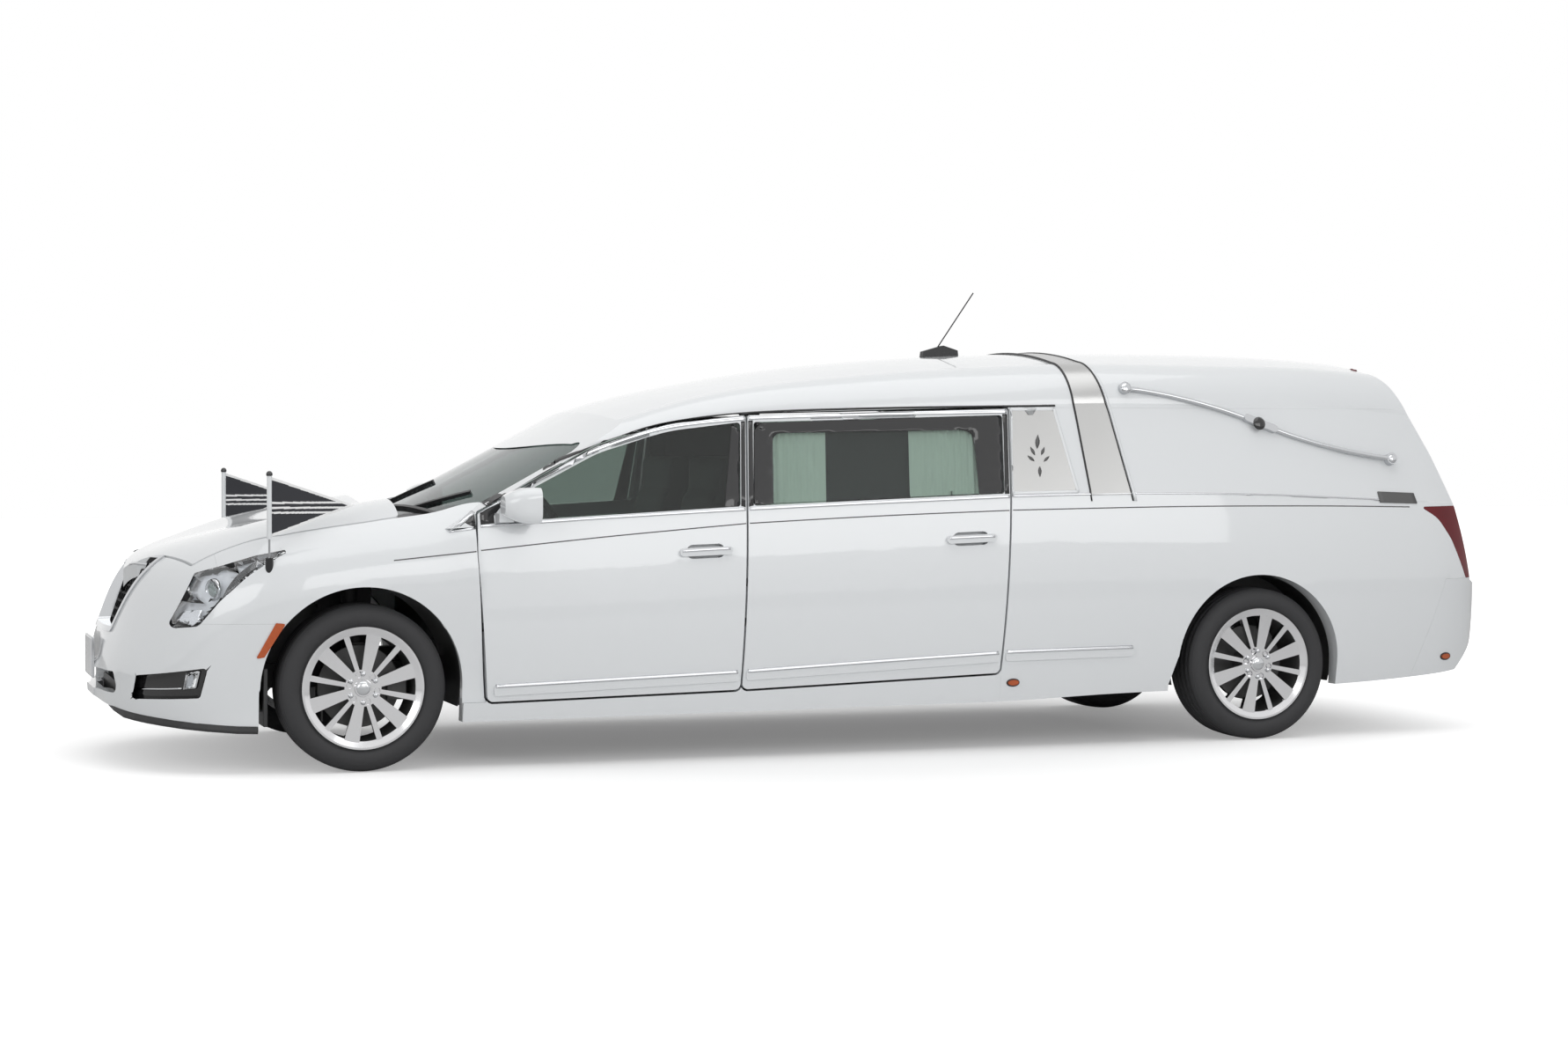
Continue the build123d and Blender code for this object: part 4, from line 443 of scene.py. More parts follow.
def rounded(corners, steps=5):
    line, count = [], len(corners)
    for i, (x, z, r) in enumerate(corners):
        here = Vector((x, z))
        back = Vector(corners[i - 1][:2]) - here
        ahead = Vector(corners[(i + 1) % count][:2]) - here
        reach = min(r, LONGEST_REACH * back.length, LONGEST_REACH * ahead.length)
        a, b = here + back.normalized() * reach, here + ahead.normalized() * reach
        for k in range(steps + 1 if r else 1):
            t = k / steps if r else 0.0
            line.append(tuple((1 - t) ** 2 * a + 2 * t * (1 - t) * here + t * t * b) if r else (x, z))
    return line


def film(name, skin, outline, surface, body, proud=0.6, hole=None, coarse=45.0):
    rings = [[Vector((x, z, 0)) for x, z in ring] for ring in ([outline, hole] if hole else [outline])]
    flat = bmesh.new()
    corners = [flat.verts.new(p) for ring in rings for p in ring]
    for triangle in tessellate_polygon(rings):
        flat.faces.new([corners[i] for i in triangle])
    for _ in range(6):
        long_edges = [e for e in flat.edges if e.calc_length() > coarse]
        if not long_edges:
            break
        bmesh.ops.subdivide_edges(flat, edges=long_edges, cuts=1)
        bmesh.ops.triangulate(flat, faces=flat.faces)
    flat.verts.index_update()
    points = [touch(skin, v.co.x, v.co.y, proud / 1000) for v in flat.verts]
    faces = [tuple(v.index for v in f.verts) for f in flat.faces]
    flat.free()
    made = on_both_sides(name, points, faces, surface, body)
    for sheet in made:
        solid = sheet.modifiers.new("thickness", "SOLIDIFY")
        solid.thickness = min(abs(proud), 2.0) / 1000 * 0.9
        solid.offset = 0
    return made


rear_glass = skin_of("glass_rear_left")
front_glass = skin_of("glass_front_left")
BAND_OUT = [(1641, 1057, 12), (1669, 1400, 12), (2803, 1433, 12), (2773, 1100, 12)]
BAND_HOLE = [(1729, 1062, 4), (1752, 1356, 42), (2664, 1372, 60), (2658, 1093, 4)]
FRONT_BAND = [(1511, 1032, 0), (1576, 1396, 0), (1610, 1398, 4), (1580, 1052, 4)]
PILLARS = [
    ("pillar_front", front_door, FRONT, [(1585, 1052), (1616, 1405), (1634, 1407), (1604, 1046)]),
    ("pillar_rear", rear_door, REAR, [(1618, 1048), (1648, 1408), (1668, 1410), (1640, 1054)]),
    ("pillar_rear_tail", rear_door, REAR, [(2776, 1096), (2806, 1440), (2829, 1441), (2797, 1096)]),
]
film("rear_band", rear_glass, rounded(BAND_OUT), gloss_black, REAR, hole=rounded(BAND_HOLE))
film("front_band", front_glass, rounded(FRONT_BAND), gloss_black, FRONT)
for name, skin, body, outline in PILLARS:
    film(name, skin, outline, gloss_black, body)
print("bands printed on the side glass,", len(PILLARS), "pillar covers a side")

# %% [markdown]
# Ahead of the front window sits a black triangle edged in chrome, half of it on the pillar's foot and half
# on the door behind the mirror. The door handles carry a bright blade.

# %% Corner triangles and handles
SAIL_PILLAR = [(372, 962), (455, 1028), (458, 972)]
SAIL_DOOR = [(478, 984), (476, 1044), (560, 1090), (590, 1082), (592, 994)]
film("sail_pillar", roof_skin, SAIL_PILLAR, gloss_black, BODY)
film("sail_door", front_door, SAIL_DOOR, gloss_black, FRONT)
lay(
    [
        ("sail_edge_low", roof_skin, BODY, 10, 4, bright, [(352, 957), (405, 963), (456, 970)]),
        ("sail_edge_high", roof_skin, BODY, 10, 4, bright, [(352, 959), (400, 994), (456, 1036)]),
        ("window_bar_corner", front_door, FRONT, 17, 5, bright, [(476, 1044), (520, 1064), (560, 1082)]),
        ("handle_blade_front", front_door, FRONT, 9, 2, bright, [(1318, 867), (1420, 872), (1524, 876)]),
        ("handle_blade_rear", rear_door, REAR, 9, 2, bright, [(2505, 908), (2610, 912), (2712, 915)]),
    ]
)

# %% [markdown]
# ## Two finishes on one solid
# A wheel is one casting, but its spokes are polished while the hub and brake disc behind them are dull. The
# dull set reaches out to the rim well, so the polished well behind the spokes is dulled too, as painted
# shade.
# The fog lamp recess is part of the bumper, but black. Giving single faces a second material does both
# without touching the solid's shape.


# %% Paint single faces
def paint_faces(name, surface, chosen):
    mesh = nodes[name].data
    mesh.materials.append(surface)
    painted = [face for face in mesh.polygons if chosen(face)]
    for face in painted:
        face.material_index = len(mesh.materials) - 1
    return len(painted)


def inside(outline, x, z):
    odd = False
    for (ax, az), (bx, bz) in zip(outline, outline[1:] + outline[:1]):
        if (az > z) != (bz > z) and x < (bx - ax) * (z - az) / (bz - az) + ax:
            odd = not odd
    return odd


HUB_Y, AXLE_Z = 0.788, 0.336
SPOKE_BACK, RIM_WELL_R = 0.0735, 0.222
AXLES = {"front": FRONT_AXLE, "rear": 1.8875}
FOG = [(-875, 289), (-860, 391), (-601, 431), (-629, 303)]


def from_axle(face, axle_x):
    return math.hypot(face.center.x - axle_x, face.center.z - AXLE_Z)


# These faces are the dull hub and disc, and also the polished rim well behind the spokes, dulled as painted
# shade.
def dull_hub_and_shaded_well(face, axle_x):
    return abs(face.center.y) - HUB_Y < SPOKE_BACK and from_axle(face, axle_x) < RIM_WELL_R


def in_fog(face):
    return inside(FOG, (face.center.x - FRONT_AXLE) * 1000, face.center.z * 1000)


for end, axle_x in AXLES.items():
    for side in ("left", "right"):
        dull = paint_faces(f"wheel_{end}_{side}", casting, lambda face: dull_hub_and_shaded_well(face, axle_x))
        print(end, side, "wheel has", dull, "dull faces")
print("fog recess faces:", paint_faces("front_bumper", gloss_black, in_fog))

# %% [markdown]
# Six chromed nuts and a centre cap finish each wheel. They stand on the hub where a ray from the side
# finds it, and they turn with the wheel.

# %% Wheel nuts
NUT = [(0.0, 0.012), (0.006, 0.012), (0.009, 0.009), (0.011, 0.0), (0.011, -0.004)]
CAP = [(0.0, 0.008), (0.016, 0.007), (0.026, 0.004), (0.030, -0.003)]
NUT_COUNT, NUT_CIRCLE, NUT_SIDES = 6, 0.057, 18
nut_turns = [math.radians(60 * k + 30) for k in range(NUT_COUNT)]
nut_places = [(NUT_CIRCLE * math.cos(a), NUT_CIRCLE * math.sin(a), NUT) for a in nut_turns]
for end, axle_x in AXLES.items():
    hub = skin_of(f"wheel_{end}_left")
    points, faces = [], []
    for dx, dz, profile in [(0.0, 0.0, CAP), *nut_places]:
        seat = touch(hub, (axle_x + dx - FRONT_AXLE) * 1000, (AXLE_Z + dz) * 1000, 0)
        start, count = len(points), len(profile)
        for k in range(NUT_SIDES):
            a, n = 2 * math.pi * k / NUT_SIDES, (k + 1) % NUT_SIDES
            points += [seat + Vector((r * math.cos(a), -h, r * math.sin(a))) for r, h in profile]
            for j in range(count - 1):
                here, there = start + k * count + j, start + n * count + j
                faces.append((here, there, there + 1, here + 1))
    on_both_sides(f"nuts_{end}", points, faces, bright, f"wheel_{end}_left")
print("nuts and caps on four wheels")

# %% [markdown]
# The lamp in the recess is a bright bezel with a lens, at its outer end, and a fine chrome line runs along
# the recess to it. Under the bumper hangs a thin black lip that follows the bumper's lower edge.

# %% Fog lamps and lip
bumper = skin_of("front_bumper")
FOG_BEZEL = rounded([(-688, 336, 8), (-676, 410, 8), (-626, 416, 8), (-640, 342, 8)])
FOG_LENS = rounded([(-680, 343, 6), (-670, 402, 6), (-634, 407, 6), (-646, 349, 6)])
film("fog_bezel", bumper, FOG_BEZEL, bright, BODY, proud=6)
film("fog_lens", bumper, FOG_LENS, lens, BODY, proud=9)
strip("fog_line", bumper, [(-852, 331), (-770, 336), (-694, 342)], 9, 6, bright, BODY)
LIP_DROP = 26
LIP = [(-940, 345, 250), (-925, 400, 245), (-893, 483, 236), (-858, 552, 229), (-815, 613, 222)]
LIP += [(-760, 678, 215), (-690, 743, 207), (-600, 800, 199), (-490, 840, 191), (-412, 858, 189)]
rows = []
for i, (x, y, z) in enumerate(LIP):
    drop = LIP_DROP * min(1, i / 2)
    section = [(-4, 2), (3, 4), (6, -drop * 0.6), (5, -drop), (-1, -drop), (-4, -drop * 0.5)]
    row = []
    for out, up in section:
        row.append(Vector((x / 1000 + FRONT_AXLE - 0.002 * out / 4, -(y + out) / 1000, (z + up) / 1000)))
    rows.append(row)
on_both_sides("bumper_lip", *ribbon(rows), black, BODY, smooth=False)
print("fog lamps and lip hang on the bumper")

# %% [markdown]
# The headlamp solid is one block, so it is replaced by what is inside a real lamp: a clear cover that
# follows the wing, a pale housing some way behind it, a projector with a thick lens, and a dark blade along
# the rear edge that runs up to the pointed tip.

# %% Headlamps
lamp_skin = skin_of("headlamps")
LAMP = [(-752, 578, 18), (-640, 590, 30), (-560, 690, 90), (-440, 800, 120)]
LAMP += [(-276, 895, 4), (-420, 866, 120), (-640, 796, 20)]
BLADE = [(-586, 640, 6), (-572, 640, 6), (-500, 752, 60), (-420, 818, 90)]
BLADE += [(-290, 888, 3), (-432, 846, 60), (-520, 772, 60)]
SIGNAL = [(-736, 592, 6), (-650, 600, 6), (-628, 660, 10), (-700, 650, 10)]
COVER_WALL = 0.003
reflector = finish("lamp_reflector", (0.80, 0.81, 0.83), 0.22, coat_weight=0.5)
cover = film("lamp_cover", lamp_skin, rounded(LAMP), lens, BODY, proud=0.5, coarse=30)
for side in cover:
    side.modifiers["thickness"].thickness = COVER_WALL
    side.modifiers["thickness"].offset = -1
film("lamp_housing", lamp_skin, rounded(LAMP), reflector, BODY, proud=-30, coarse=30)
film("lamp_blade", lamp_skin, rounded(BLADE), gloss_black, BODY, proud=-8, coarse=30)
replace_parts(cover[0], "headlamps")


def lathe(name, centre, outward, profile, surface, body, segments=36):
    axis = Vector(outward).normalized()
    flat = axis.orthogonal().normalized()
    other = axis.cross(flat)
    points, faces = [], []
    for k in range(segments):
        a = 2 * math.pi * k / segments
        spoke = flat * math.cos(a) + other * math.sin(a)
        points += [Vector(centre) + axis * h + spoke * r for r, h in profile]
    count = len(profile)
    for k in range(segments):
        for j in range(count - 1):
            n = (k + 1) % segments
            faces.append((k * count + j, n * count + j, n * count + j + 1, k * count + j + 1))
    made = on_both_sides(name, points, faces, surface, body)
    for side in made:
        weld = side.modifiers.new("closed", "WELD")
        weld.merge_threshold = 0.0002
    return made


eye = touch(lamp_skin, -590, 742, -0.027)
FORWARD = (-0.86, -0.5, 0.05)
RING = [(0.030, -0.004), (0.047, 0), (0.044, 0.010), (0.036, 0.012), (0.033, 0.004), (0.030, -0.004)]
BULL_EYE = [(0.0, 0.013), (0.012, 0.0125), (0.022, 0.010), (0.030, 0.005), (0.033, 0.0), (0.0, -0.003)]
lathe("projector_ring", eye, FORWARD, RING, bright, BODY)
lathe("projector_lens", eye, FORWARD, BULL_EYE, dark_tint, BODY)
film("lamp_signal", lamp_skin, rounded(SIGNAL), alloy, BODY, proud=-14, coarse=12)
print("headlamp covers, housings, blades, projectors and signals made")

# %% [markdown]
# A white plate hangs on the bumper's nose in a thin bright frame, and a small dark plate sits at the tail.
# A black sheet closes the low intake, and a black splash guard closes the arch ahead of each front tyre.
# All but the tail plate are boxes with bevelled edges, because a sharp edge catches no light.

# %% Plates
nose_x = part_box("front_bumper")[0].x


def tablet(name, low, high, surface, body, edge=0.004):
    solid = bmesh.new()
    bmesh.ops.create_cube(solid, size=1.0)
    size, middle = Vector(high) - Vector(low), (Vector(high) + Vector(low)) / 2
    for corner in solid.verts:
        corner.co = Vector((corner.co.x * size.x, corner.co.y * size.y, corner.co.z * size.z)) + middle
    bmesh.ops.bevel(solid, geom=solid.edges, offset=edge, segments=3, profile=0.7, affect="EDGES")
    solid.verts.index_update()
    points = [v.co.copy() for v in solid.verts]
    faces = [tuple(v.index for v in f.verts) for f in solid.faces]
    solid.free()
    return piece(name, points, faces, surface, body)


PLATE_HALF, PLATE_LOW, PLATE_HIGH = 0.150, 0.353, 0.508
RIM = 0.006
frame_low = (nose_x - 0.006, -PLATE_HALF - RIM, PLATE_LOW - RIM)
frame_high = (nose_x + 0.004, PLATE_HALF + RIM, PLATE_HIGH + RIM)
plate_low, plate_high = (nose_x - 0.009, -PLATE_HALF, PLATE_LOW), (nose_x - 0.002, PLATE_HALF, PLATE_HIGH)
tablet("plate_frame", frame_low, frame_high, bright, BODY, 0.002)
tablet("blank_plate", plate_low, plate_high, paint, BODY, 0.0015)
TAIL_PLATE = [(4612, 1046, 4), (4606, 1096, 4), (4800, 1088, 4), (4812, 1040, 4)]
film("tail_nameplate", quarter, rounded(TAIL_PLATE), casting, BODY, proud=3)
INTAKE_LOW, INTAKE_HIGH = (nose_x + 0.085, -0.33, 0.225), (nose_x + 0.095, 0.33, 0.335)
tablet("intake_mesh", INTAKE_LOW, INTAKE_HIGH, black, BODY, 0.002)
GUARD_X, GUARD_HALF, GUARD_LOW, GUARD_HIGH = FRONT_AXLE - 0.382, 0.008, 0.19, 0.42
for name, low_y, high_y in (("splash_guard_left", -0.86, -0.56), ("splash_guard_right", 0.56, 0.86)):
    guard_low = (GUARD_X - GUARD_HALF, low_y, GUARD_LOW)
    guard_high = (GUARD_X + GUARD_HALF, high_y, GUARD_HIGH)
    tablet(name, guard_low, guard_high, black, BODY)
print("plates, intake and splash guards in place")

# %% [markdown]
# The silver panel behind the rear door stands in a white raised frame and carries a small sprig of leaves.
# The wide band over the roof has a thin dark line along each edge and a white bead behind it. Over the roof
# the rays come in towards the car's middle instead of from the side.


# %% Panel frame, sprig and band edges
trim_skin = skin_of("quarter_panels", "roof", "roof_sides", "side_panels", "roof_band")
PANEL = [(2846, 1462), (3052, 1464), (3120, 1103), (2808, 1097)]
for k, (a, b) in enumerate(zip(PANEL, PANEL[1:] + PANEL[:1])):
    middle = ((a[0] + b[0]) / 2, (a[1] + b[1]) / 2)
    strip(f"panel_frame_{k}", trim_skin, [a, middle, b], 15, 7, paint, BODY)
SPRIG = [(2950, 1290, 80, 62), (2936, 1262, 115, 40), (2966, 1262, 62, 40)]
SPRIG += [(2930, 1236, 140, 38), (2974, 1234, 40, 38), (2952, 1214, 265, 46)]
LEAF_EDGE = [(s, 1) for s in (0, 0.2, 0.4, 0.6, 0.8, 1)] + [(s, -1) for s in (0.8, 0.6, 0.4, 0.2)]
LEAF_HALF = 0.16
for k, (x, z, turn, size) in enumerate(SPRIG):
    a = math.radians(turn)
    along, across = Vector((math.cos(a), math.sin(a))), Vector((-math.sin(a), math.cos(a)))
    leaf = []
    for s, side in LEAF_EDGE:
        swell = LEAF_HALF * math.sin(math.pi * min(s * 1.05, 1)) * side
        leaf.append(tuple(Vector((x, z)) + along * size * s + across * size * swell))
    film(f"sprig_leaf_{k}", trim_skin, leaf, casting, BODY, proud=2, coarse=30)


HOOP_STEPS, HOOP_FROM, HOOP_SWEEP = 120, 4, 172
CORE_Z, BELT_Z = 1.0, 1.1


def over(skin, x, angle, proud):
    out = Vector((0, -math.cos(angle), math.sin(angle)))
    hit, normal = skin.ray_cast(Vector((x / 1000 + FRONT_AXLE, 0, CORE_Z)) + out * 2, -out)[:2]
    return hit + normal * (proud if normal.dot(out) > 0 else -proud)


def hoop(name, skin, station_at, width, proud, surface):
    rows = []
    for k in range(HOOP_STEPS + 1):
        angle = math.radians(HOOP_FROM + HOOP_SWEEP * k / HOOP_STEPS)
        x = station_at(BELT_Z)
        for _ in range(3):
            x = station_at(over(skin, x, angle, 0).z)
        rows.append([over(skin, x + u * width, angle, h * proud / 1000) for u, h in CROWNED])
    return piece(name, *ribbon(rows), surface, BODY)


def band_line(points):
    def station_at(z):
        for (xa, za), (xb, zb) in zip(points, points[1:]):
            if z <= zb:
                return xa + (xb - xa) * (z - za) / (zb - za)
        return points[-1][0]

    return station_at


FRONT_EDGE = band_line([(3180, 1.090), (3152, 1.450), (3128, 1.66), (3112, 1.8)])
REAR_EDGE = band_line([(3375, 1.092), (3312, 1.450), (3262, 1.66), (3236, 1.8)])
hoop("band_front_line", trim_skin, FRONT_EDGE, 7, 4.5, black)
hoop("band_rear_line", trim_skin, REAR_EDGE, 7, 4.5, black)
hoop("band_rear_bead", trim_skin, lambda z: REAR_EDGE(z) + 12, 14, 6, paint)
print("panel framed, band edged")

# %% [markdown]
# Small round parts finish the trim: the boss and end discs of the landau bar, the dark rings round the side
# markers, a red lamp along the roof's rear edge, and a bright strip over the nose that follows the hood.


# %% Discs, rings, brake lamp and nose strip
def draped_strip(skin, route, width, proud):
    line = fair(route, 0.03)
    rows = []
    for i, place in enumerate(line):
        run = Vector(line[min(i + 1, len(line) - 1)]) - Vector(line[max(i - 1, 0)])
        hit, normal = skin.find_nearest(Vector(place))[:2]
        side = run.cross(normal).normalized()
        rows.append([hit + side * u * width / 1000 + normal * h * proud / 1000 for u, h in CROWNED])
    return ribbon(rows)


bar_skin = skin_of("landau_bars")
BUTTON = [(0.0, 1.0), (0.45, 0.92), (0.8, 0.6), (1.0, 0.0), (0.9, -0.4), (0.0, -0.5)]
BUTTON_HEIGHT, BUTTON_FACES = 0.008, (0, -1, 0.25)
for name, x, z, radius, surface in (
    ("landau_boss", 4037, 1403, 0.030, gloss_black),
    ("landau_disc_front", 3401, 1558, 0.024, bright),
    ("landau_disc_rear", 4695, 1245, 0.020, bright),
):
    seat = touch(bar_skin, x, z, 0)
    profile = [(radius * r, BUTTON_HEIGHT * h) for r, h in BUTTON]
    lathe(name, seat, BUTTON_FACES, profile, surface, BODY)
marker_skin = skin_of("marker_lamps", "quarter_panels", "rear_bumper", "sill_panels")
RING_LONG, RING_HIGH = 28, 15
around = [math.radians(20 * k) for k in range(19)]
for name, x, z in (("marker_ring_side", 2810, 284), ("marker_ring_tail", 4966, 344)):
    ring = [(x + RING_LONG * math.cos(a), z + RING_HIGH * math.sin(a)) for a in around]
    strip(name, marker_skin, ring, 6, 3, black, BODY)
roof_top = skin_of("roof")
BRAKE_X, BRAKE_Z, BRAKE_HALF, BRAKE_BOW = 4.742 + FRONT_AXLE, 1.694, 0.5, 0.03
brake = []
for y in (-BRAKE_HALF, -BRAKE_HALF / 2, 0, BRAKE_HALF / 2, BRAKE_HALF):
    brake.append((BRAKE_X + BRAKE_BOW * (1 - (y / BRAKE_HALF) ** 2), y, BRAKE_Z))
piece("high_brake_lamp", *draped_strip(roof_top, brake, 20, 5), red_lens, BODY)
nose = skin_of("hood", "grille_surround", "front_bumper", "front_fenders")
NOSE_LINE = [(-878, -100, 818), (-850, -190, 817), (-800, -305, 814), (-719, -415, 810)]
over_nose = [(x / 1000 + FRONT_AXLE, y / 1000, z / 1000) for x, y, z in NOSE_LINE]
on_both_sides("nose_strip", *draped_strip(nose, over_nose, 12, 3), bright, "hood")
print("discs, rings, brake lamp and nose strip added")

# %% [markdown]
# ## Cloth
# Each curtain starts as a flat panel and is drawn up into pleats, so the cut is wider than the part of the
# window that it covers. The pleats are deepest at the outer edge and die out at the inner one. A dark sheet
# is stretched behind them as painted shade, so that the middle of the window looks black.


# %% Curtains and the dark sheet of painted shade
SILL_X, SILL_Z, SILL_RISE = 1641, 1057 - 4, 43 / 1132
HEAD_X, HEAD_Z, HEAD_RISE = 1669, 1400 - 6, 33 / 1134
LEAN = HEAD_X - SILL_X


def squares(columns, rows):
    faces = []
    for i in range(columns):
        for j in range(rows):
            here, beyond = i * (rows + 1) + j, (i + 1) * (rows + 1) + j
            faces.append((here, here + 1, beyond + 1, beyond))
    return faces


def hanging(name, first, last, depth, pleats, wave, still_at, surface, columns, rows=14):
    points = []
    for i in range(columns + 1):
        s = i / columns
        x = first + (last - first) * s
        calm = abs(s - still_at) ** 0.7
        inward = depth + wave * calm * math.sin(2 * math.pi * pleats * s)
        low = SILL_Z + (x - SILL_X) * SILL_RISE
        high = HEAD_Z + (x - HEAD_X) * HEAD_RISE
        for j in range(rows + 1):
            t = j / rows
            points.append(touch(rear_glass, x + LEAN * t, low + (high - low) * t, -inward / 1000))
    made = on_both_sides(name, points, squares(columns, rows), surface, REAR)
    step = rows + 1
    middle = [points[i * step + rows // 2] for i in range(columns + 1)]
    width = sum((b - a).length for a, b in zip(middle, middle[1:]))
    foot = step // 2 * step
    length = (points[foot + rows] - points[foot]).length
    return made, (width, length)


CURTAIN_DEPTH, SHADE_SHEET_DEPTH, PLEAT_PITCH, PLEAT_DEPTH = 19, 36, 30, 6
for name, first, last, still_at in (("curtain_fore", 1646, 1968, 1.0), ("curtain_aft", 2346, 2768, 0.0)):
    pleating = (CURTAIN_DEPTH, (last - first) / PLEAT_PITCH, PLEAT_DEPTH, still_at)
    sides, cut = hanging(name, first, last, *pleating, curtain_cloth, 150)
    for side, hand in zip(sides, ("left", "right")):
        if name == "curtain_fore":
            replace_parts(side, f"curtain_{hand}")
    print(name, "cut", [round(v, 3) for v in cut])
# The dark sheet stands behind the glass as painted shade, not as a part of the car.
shade_sheets, cut = hanging("shade_sheet", 1666, 2750, SHADE_SHEET_DEPTH, 1, 0, 0.5, shade_sheet_cloth, 24)
print("blind cut", [round(v, 3) for v in cut])

# %% [markdown]
# A pennant flies from a staff on each front wing. It is black with a white border on its sloping edges and
# three white stripes. The cloth ripples more towards its free tip, and the colour of each small square of
# cloth depends on where it lies in the pattern.

# %% Pennants and staffs
HEM_LOW, HEM_HIGH, TIP_Z, FLY = 0.942, 1.180, 1.066, 0.332
STAFF_Y, STRIPES, STRIPE_HALF = 0.876, (1.077, 1.057, 1.038), 0.004
BORDER, LOW_EDGE_SLANT, HIGH_EDGE_SLANT = 0.010, 0.937, 0.946
RIPPLE, TIP_CUT = 0.007, 0.996


def pennant(name, aft, side, columns=110, rows=80):
    hem_x = aft / 1000 + FRONT_AXLE + 0.006
    points = []
    for i in range(columns + 1):
        s = TIP_CUT * i / columns
        low, high = HEM_LOW + (TIP_Z - HEM_LOW) * s, HEM_HIGH + (TIP_Z - HEM_HIGH) * s
        for j in range(rows + 1):
            t = j / rows
            ripple = RIPPLE * s * math.sin(8 * s + 1.6 * t) * side
            points.append((hem_x + FLY * s, side * STAFF_Y + ripple, low + (high - low) * t))
    made = piece(name, points, squares(columns, rows), flag_black, BODY)
    made.data.materials.append(flag_white)
    for face in made.data.polygons:
        s = (face.center.x - hem_x) / FLY
        to_low = (face.center.z - HEM_LOW - (TIP_Z - HEM_LOW) * s) * LOW_EDGE_SLANT
        to_high = (HEM_HIGH + (TIP_Z - HEM_HIGH) * s - face.center.z) * HIGH_EDGE_SLANT
        striped = any(abs(face.center.z - z) < STRIPE_HALF for z in STRIPES)
        face.material_index = 1 if min(to_low, to_high) < BORDER or striped else 0
    return made


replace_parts(pennant("pennant_left", -370, -1), "pennants")
pennant("pennant_right", -319, 1)
for surface, low, high in ((gloss_black, 1.183, 2.0), (bright, 0.860, 0.934), (gloss_black, 0.0, 0.860)):
    print("staff faces", paint_faces("flag_staffs", surface, lambda face: low < face.center.z < high))

# %% [markdown]
# ## Padding
# The seats come from the CAD model as plain blocks. Here they are turned into one skin of even squares and
# blown up slightly by a cloth simulation, which rounds the edges as foam under hide does.


# %% Seats
SQUARE, MOST_SWELL, PUFF_FRAMES = 0.012, 0.006, 20


def frozen(made):
    seen_now = made.evaluated_get(bpy.context.evaluated_depsgraph_get())
    mesh = bpy.data.meshes.new_from_object(seen_now)
    made.modifiers.clear()
    made.data = mesh
    return made


block = nodes["seats"].data
seat_faces = [tuple(face.vertices) for face in block.polygons]
pads = piece("seat_pads", [vertex.co for vertex in block.vertices], seat_faces, hide, BODY)
grid = pads.modifiers.new("squares", "REMESH")
grid.mode, grid.voxel_size = "VOXEL", SQUARE
frozen(pads)
rest = [v.co.copy() for v in pads.data.vertices]
cloth = pads.modifiers.new("stuffing", "CLOTH")
cloth.settings.use_pressure = True
cloth.settings.uniform_pressure_force = 4.0
cloth.settings.effector_weights.gravity = 0.0
cloth.settings.quality = 3
cloth.point_cache.frame_end = PUFF_FRAMES
for now in range(1, PUFF_FRAMES + 1):
    bpy.context.scene.frame_set(now)
frozen(pads)
for vertex, was in zip(pads.data.vertices, rest):
    moved = vertex.co - was
    vertex.co = was + moved * min(1.0, MOST_SWELL / max(moved.length, 1e-6))
bpy.context.scene.frame_set(1)
for face in pads.data.polygons:
    face.use_smooth = True
softened = pads.modifiers.new("soft_edges", "SMOOTH")
softened.factor, softened.iterations = 0.5, 3
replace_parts(pads, "seats")
print("seat skin has", len(pads.data.polygons), "squares")

# %% [markdown]
# ## Tread
# The tread is a second rubber with grooves round the tyre. The grooves come from bands across the tyre's
# width, so the same material fits all four wheels.

# %% Tyre tread
TREAD_FROM = 0.322
tread = finish("grooved_tread", (0.024, 0.024, 0.026), 0.8)
bumpy(tread, texture(tread, "Wave", 8.0, (0, 1, 0)), 0.9, 0.006)
tread.node_tree.nodes["Wave Texture"].bands_direction = "Y"


def on_tread(face, axle_x):
    return from_axle(face, axle_x) > TREAD_FROM


for end, axle_x in AXLES.items():
    for side in ("left", "right"):
        grooved = paint_faces(f"tyre_{end}_{side}", tread, lambda face: on_tread(face, axle_x))
        print(end, side, "tyre has", grooved, "tread faces")

# %% [markdown]
# ## The studio
# The photograph was taken from the car's front left, a little above the mirrors, on a white sweep. The
# camera stands level, so that uprights stay upright, and a small shift of its film puts the horizon where
# the photograph has it.

# %% Camera
camera = bpy.data.objects.new("studio_camera", bpy.data.cameras.new("studio_camera"))
bpy.context.scene.collection.objects.link(camera)
bpy.context.scene.camera = camera
camera.data.sensor_width = 36.0
camera.data.lens = 65.07
camera.data.shift_y = -0.048
camera.data.clip_end = 200
camera.location = (-4.1265, -12.137, 1.301)
camera.rotation_euler = (math.radians(90), 0, math.radians(-18.648))
print("camera at", tuple(round(v, 2) for v in camera.location))

# %% [markdown]
# Three wide lamps light the car from above, from its front left and from its side. The white world fills in
# the rest: it is dimmer as a light than it looks to the camera, through glass or as a reflection.


# %% Lamps and world
def lamp(name, place, aim, size, power):
    light = bpy.data.lights.new(name, "AREA")
    light.shape = "RECTANGLE"
    light.size, light.size_y = size
    light.energy = power
    hung = bpy.data.objects.new(name, light)
    bpy.context.scene.collection.objects.link(hung)
    hung.location = place
    hung.rotation_euler = (Vector(aim) - Vector(place)).to_track_quat("-Z", "Y").to_euler()


def add_node(tree, kind, operation=None, **values):
    made = tree.nodes.new("ShaderNode" + kind)
    if operation:
        made.operation = operation
    for socket, value in values.items():
        made.inputs[socket.replace("_", " ").title()].default_value = value
    return made


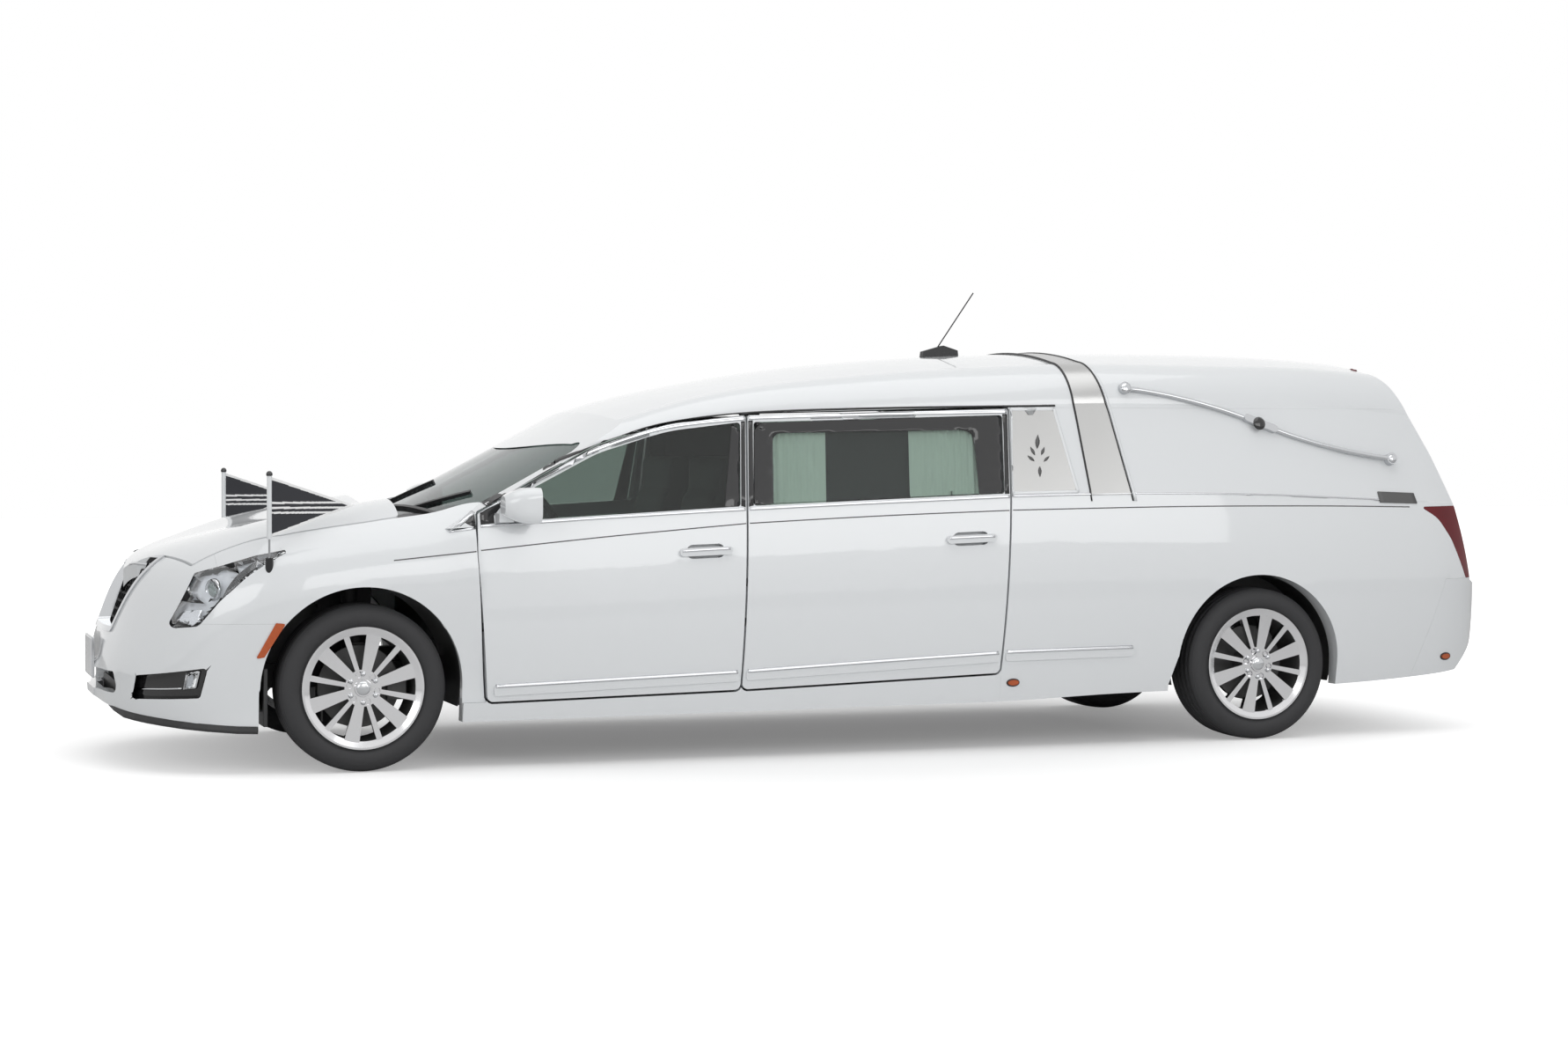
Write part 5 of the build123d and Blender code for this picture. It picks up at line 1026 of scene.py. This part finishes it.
lamp("overhead_softbox", (-0.5, -1.5, 6.5), (0, 0, 0.6), (9, 6), 185)
lamp("front_left_softbox", (-7.0, -6.0, 3.2), (-1.2, 0, 0.7), (4, 3), 90)
lamp("side_softbox", (2.0, -9.0, 3.5), (0.8, 0, 0.8), (8, 3), 165)
world = bpy.data.worlds.new("white_sweep")
bpy.context.scene.world = world
world.use_nodes = True
tree = world.node_tree
sky = tree.nodes["Background"]
sky.inputs["Color"].default_value = (1, 1, 1, 1)
seen = add_node(tree, "LightPath")
level = add_node(tree, "MapRange", to_min=0.42, to_max=1.0)
direct = add_node(tree, "Math", "MAXIMUM")
shown = add_node(tree, "Math", "MAXIMUM")
tree.links.new(seen.outputs["Is Camera Ray"], direct.inputs[0])
tree.links.new(seen.outputs["Is Transmission Ray"], direct.inputs[1])
tree.links.new(direct.outputs["Value"], shown.inputs[0])
tree.links.new(seen.outputs["Is Glossy Ray"], shown.inputs[1])
tree.links.new(shown.outputs["Value"], level.inputs["Value"])
tree.links.new(level.outputs["Result"], sky.inputs["Strength"])
print("studio lit by", len(bpy.data.lights), "lamps and a white world")

# %% [markdown]
# A plain white floor would end in a grey line far behind the car. This one glows for the camera only, and
# more so away from the car, so it runs into the white world and still takes the car's shadow. Its glow is
# weakest round the car, which paints a shadow there on top of the real one.

# %% Floor
FLOOR_HALF = 40
corners = [(x * FLOOR_HALF, y * FLOOR_HALF, 0) for x, y in ((-1, -1), (1, -1), (1, 1), (-1, 1))]
floor_mesh = bpy.data.meshes.new("studio_floor")
floor_mesh.from_pydata(corners, [], [(0, 1, 2, 3)])
floor = bpy.data.objects.new("studio_floor", floor_mesh)
bpy.context.scene.collection.objects.link(floor)
sweep = finish("white_floor", (0.82, 0.82, 0.82), 0.9, emission_color=(1, 1, 1, 1))
varied(sweep, texture(sweep, "Noise", 0.7), "Roughness", 0.85, 0.95)
tree = sweep.node_tree
seen = add_node(tree, "LightPath")
place = add_node(tree, "TexCoord")
away = add_node(tree, "VectorMath", "LENGTH")
# The low end of this range dims the floor's glow near the car: a painted shadow round it.
glow_fade_with_painted_shadow = add_node(tree, "MapRange", from_min=1.5, from_max=5.5, to_min=0.20, to_max=0.95)
glow = add_node(tree, "Math", "MULTIPLY")
tree.links.new(place.outputs["Object"], away.inputs[0])
tree.links.new(away.outputs["Value"], glow_fade_with_painted_shadow.inputs["Value"])
tree.links.new(glow_fade_with_painted_shadow.outputs["Result"], glow.inputs[1])
tree.links.new(seen.outputs["Is Camera Ray"], glow.inputs[0])
tree.links.new(glow.outputs["Value"], tree.nodes["Principled BSDF"].inputs["Emission Strength"])
floor_mesh.materials.append(sweep)
floor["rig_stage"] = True
bpy.context.scene.view_settings.view_transform = "Standard"
print("floor laid,", 2 * FLOOR_HALF, "metres square")

# %% [markdown]
# ## Size
# The box of the dressed car is printed at the end, because trim should add no more than a few millimetres
# to the box of the solids.

# %% Sizes and finish
low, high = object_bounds()
print("dressed box", [round(v, 3) for v in high - low])
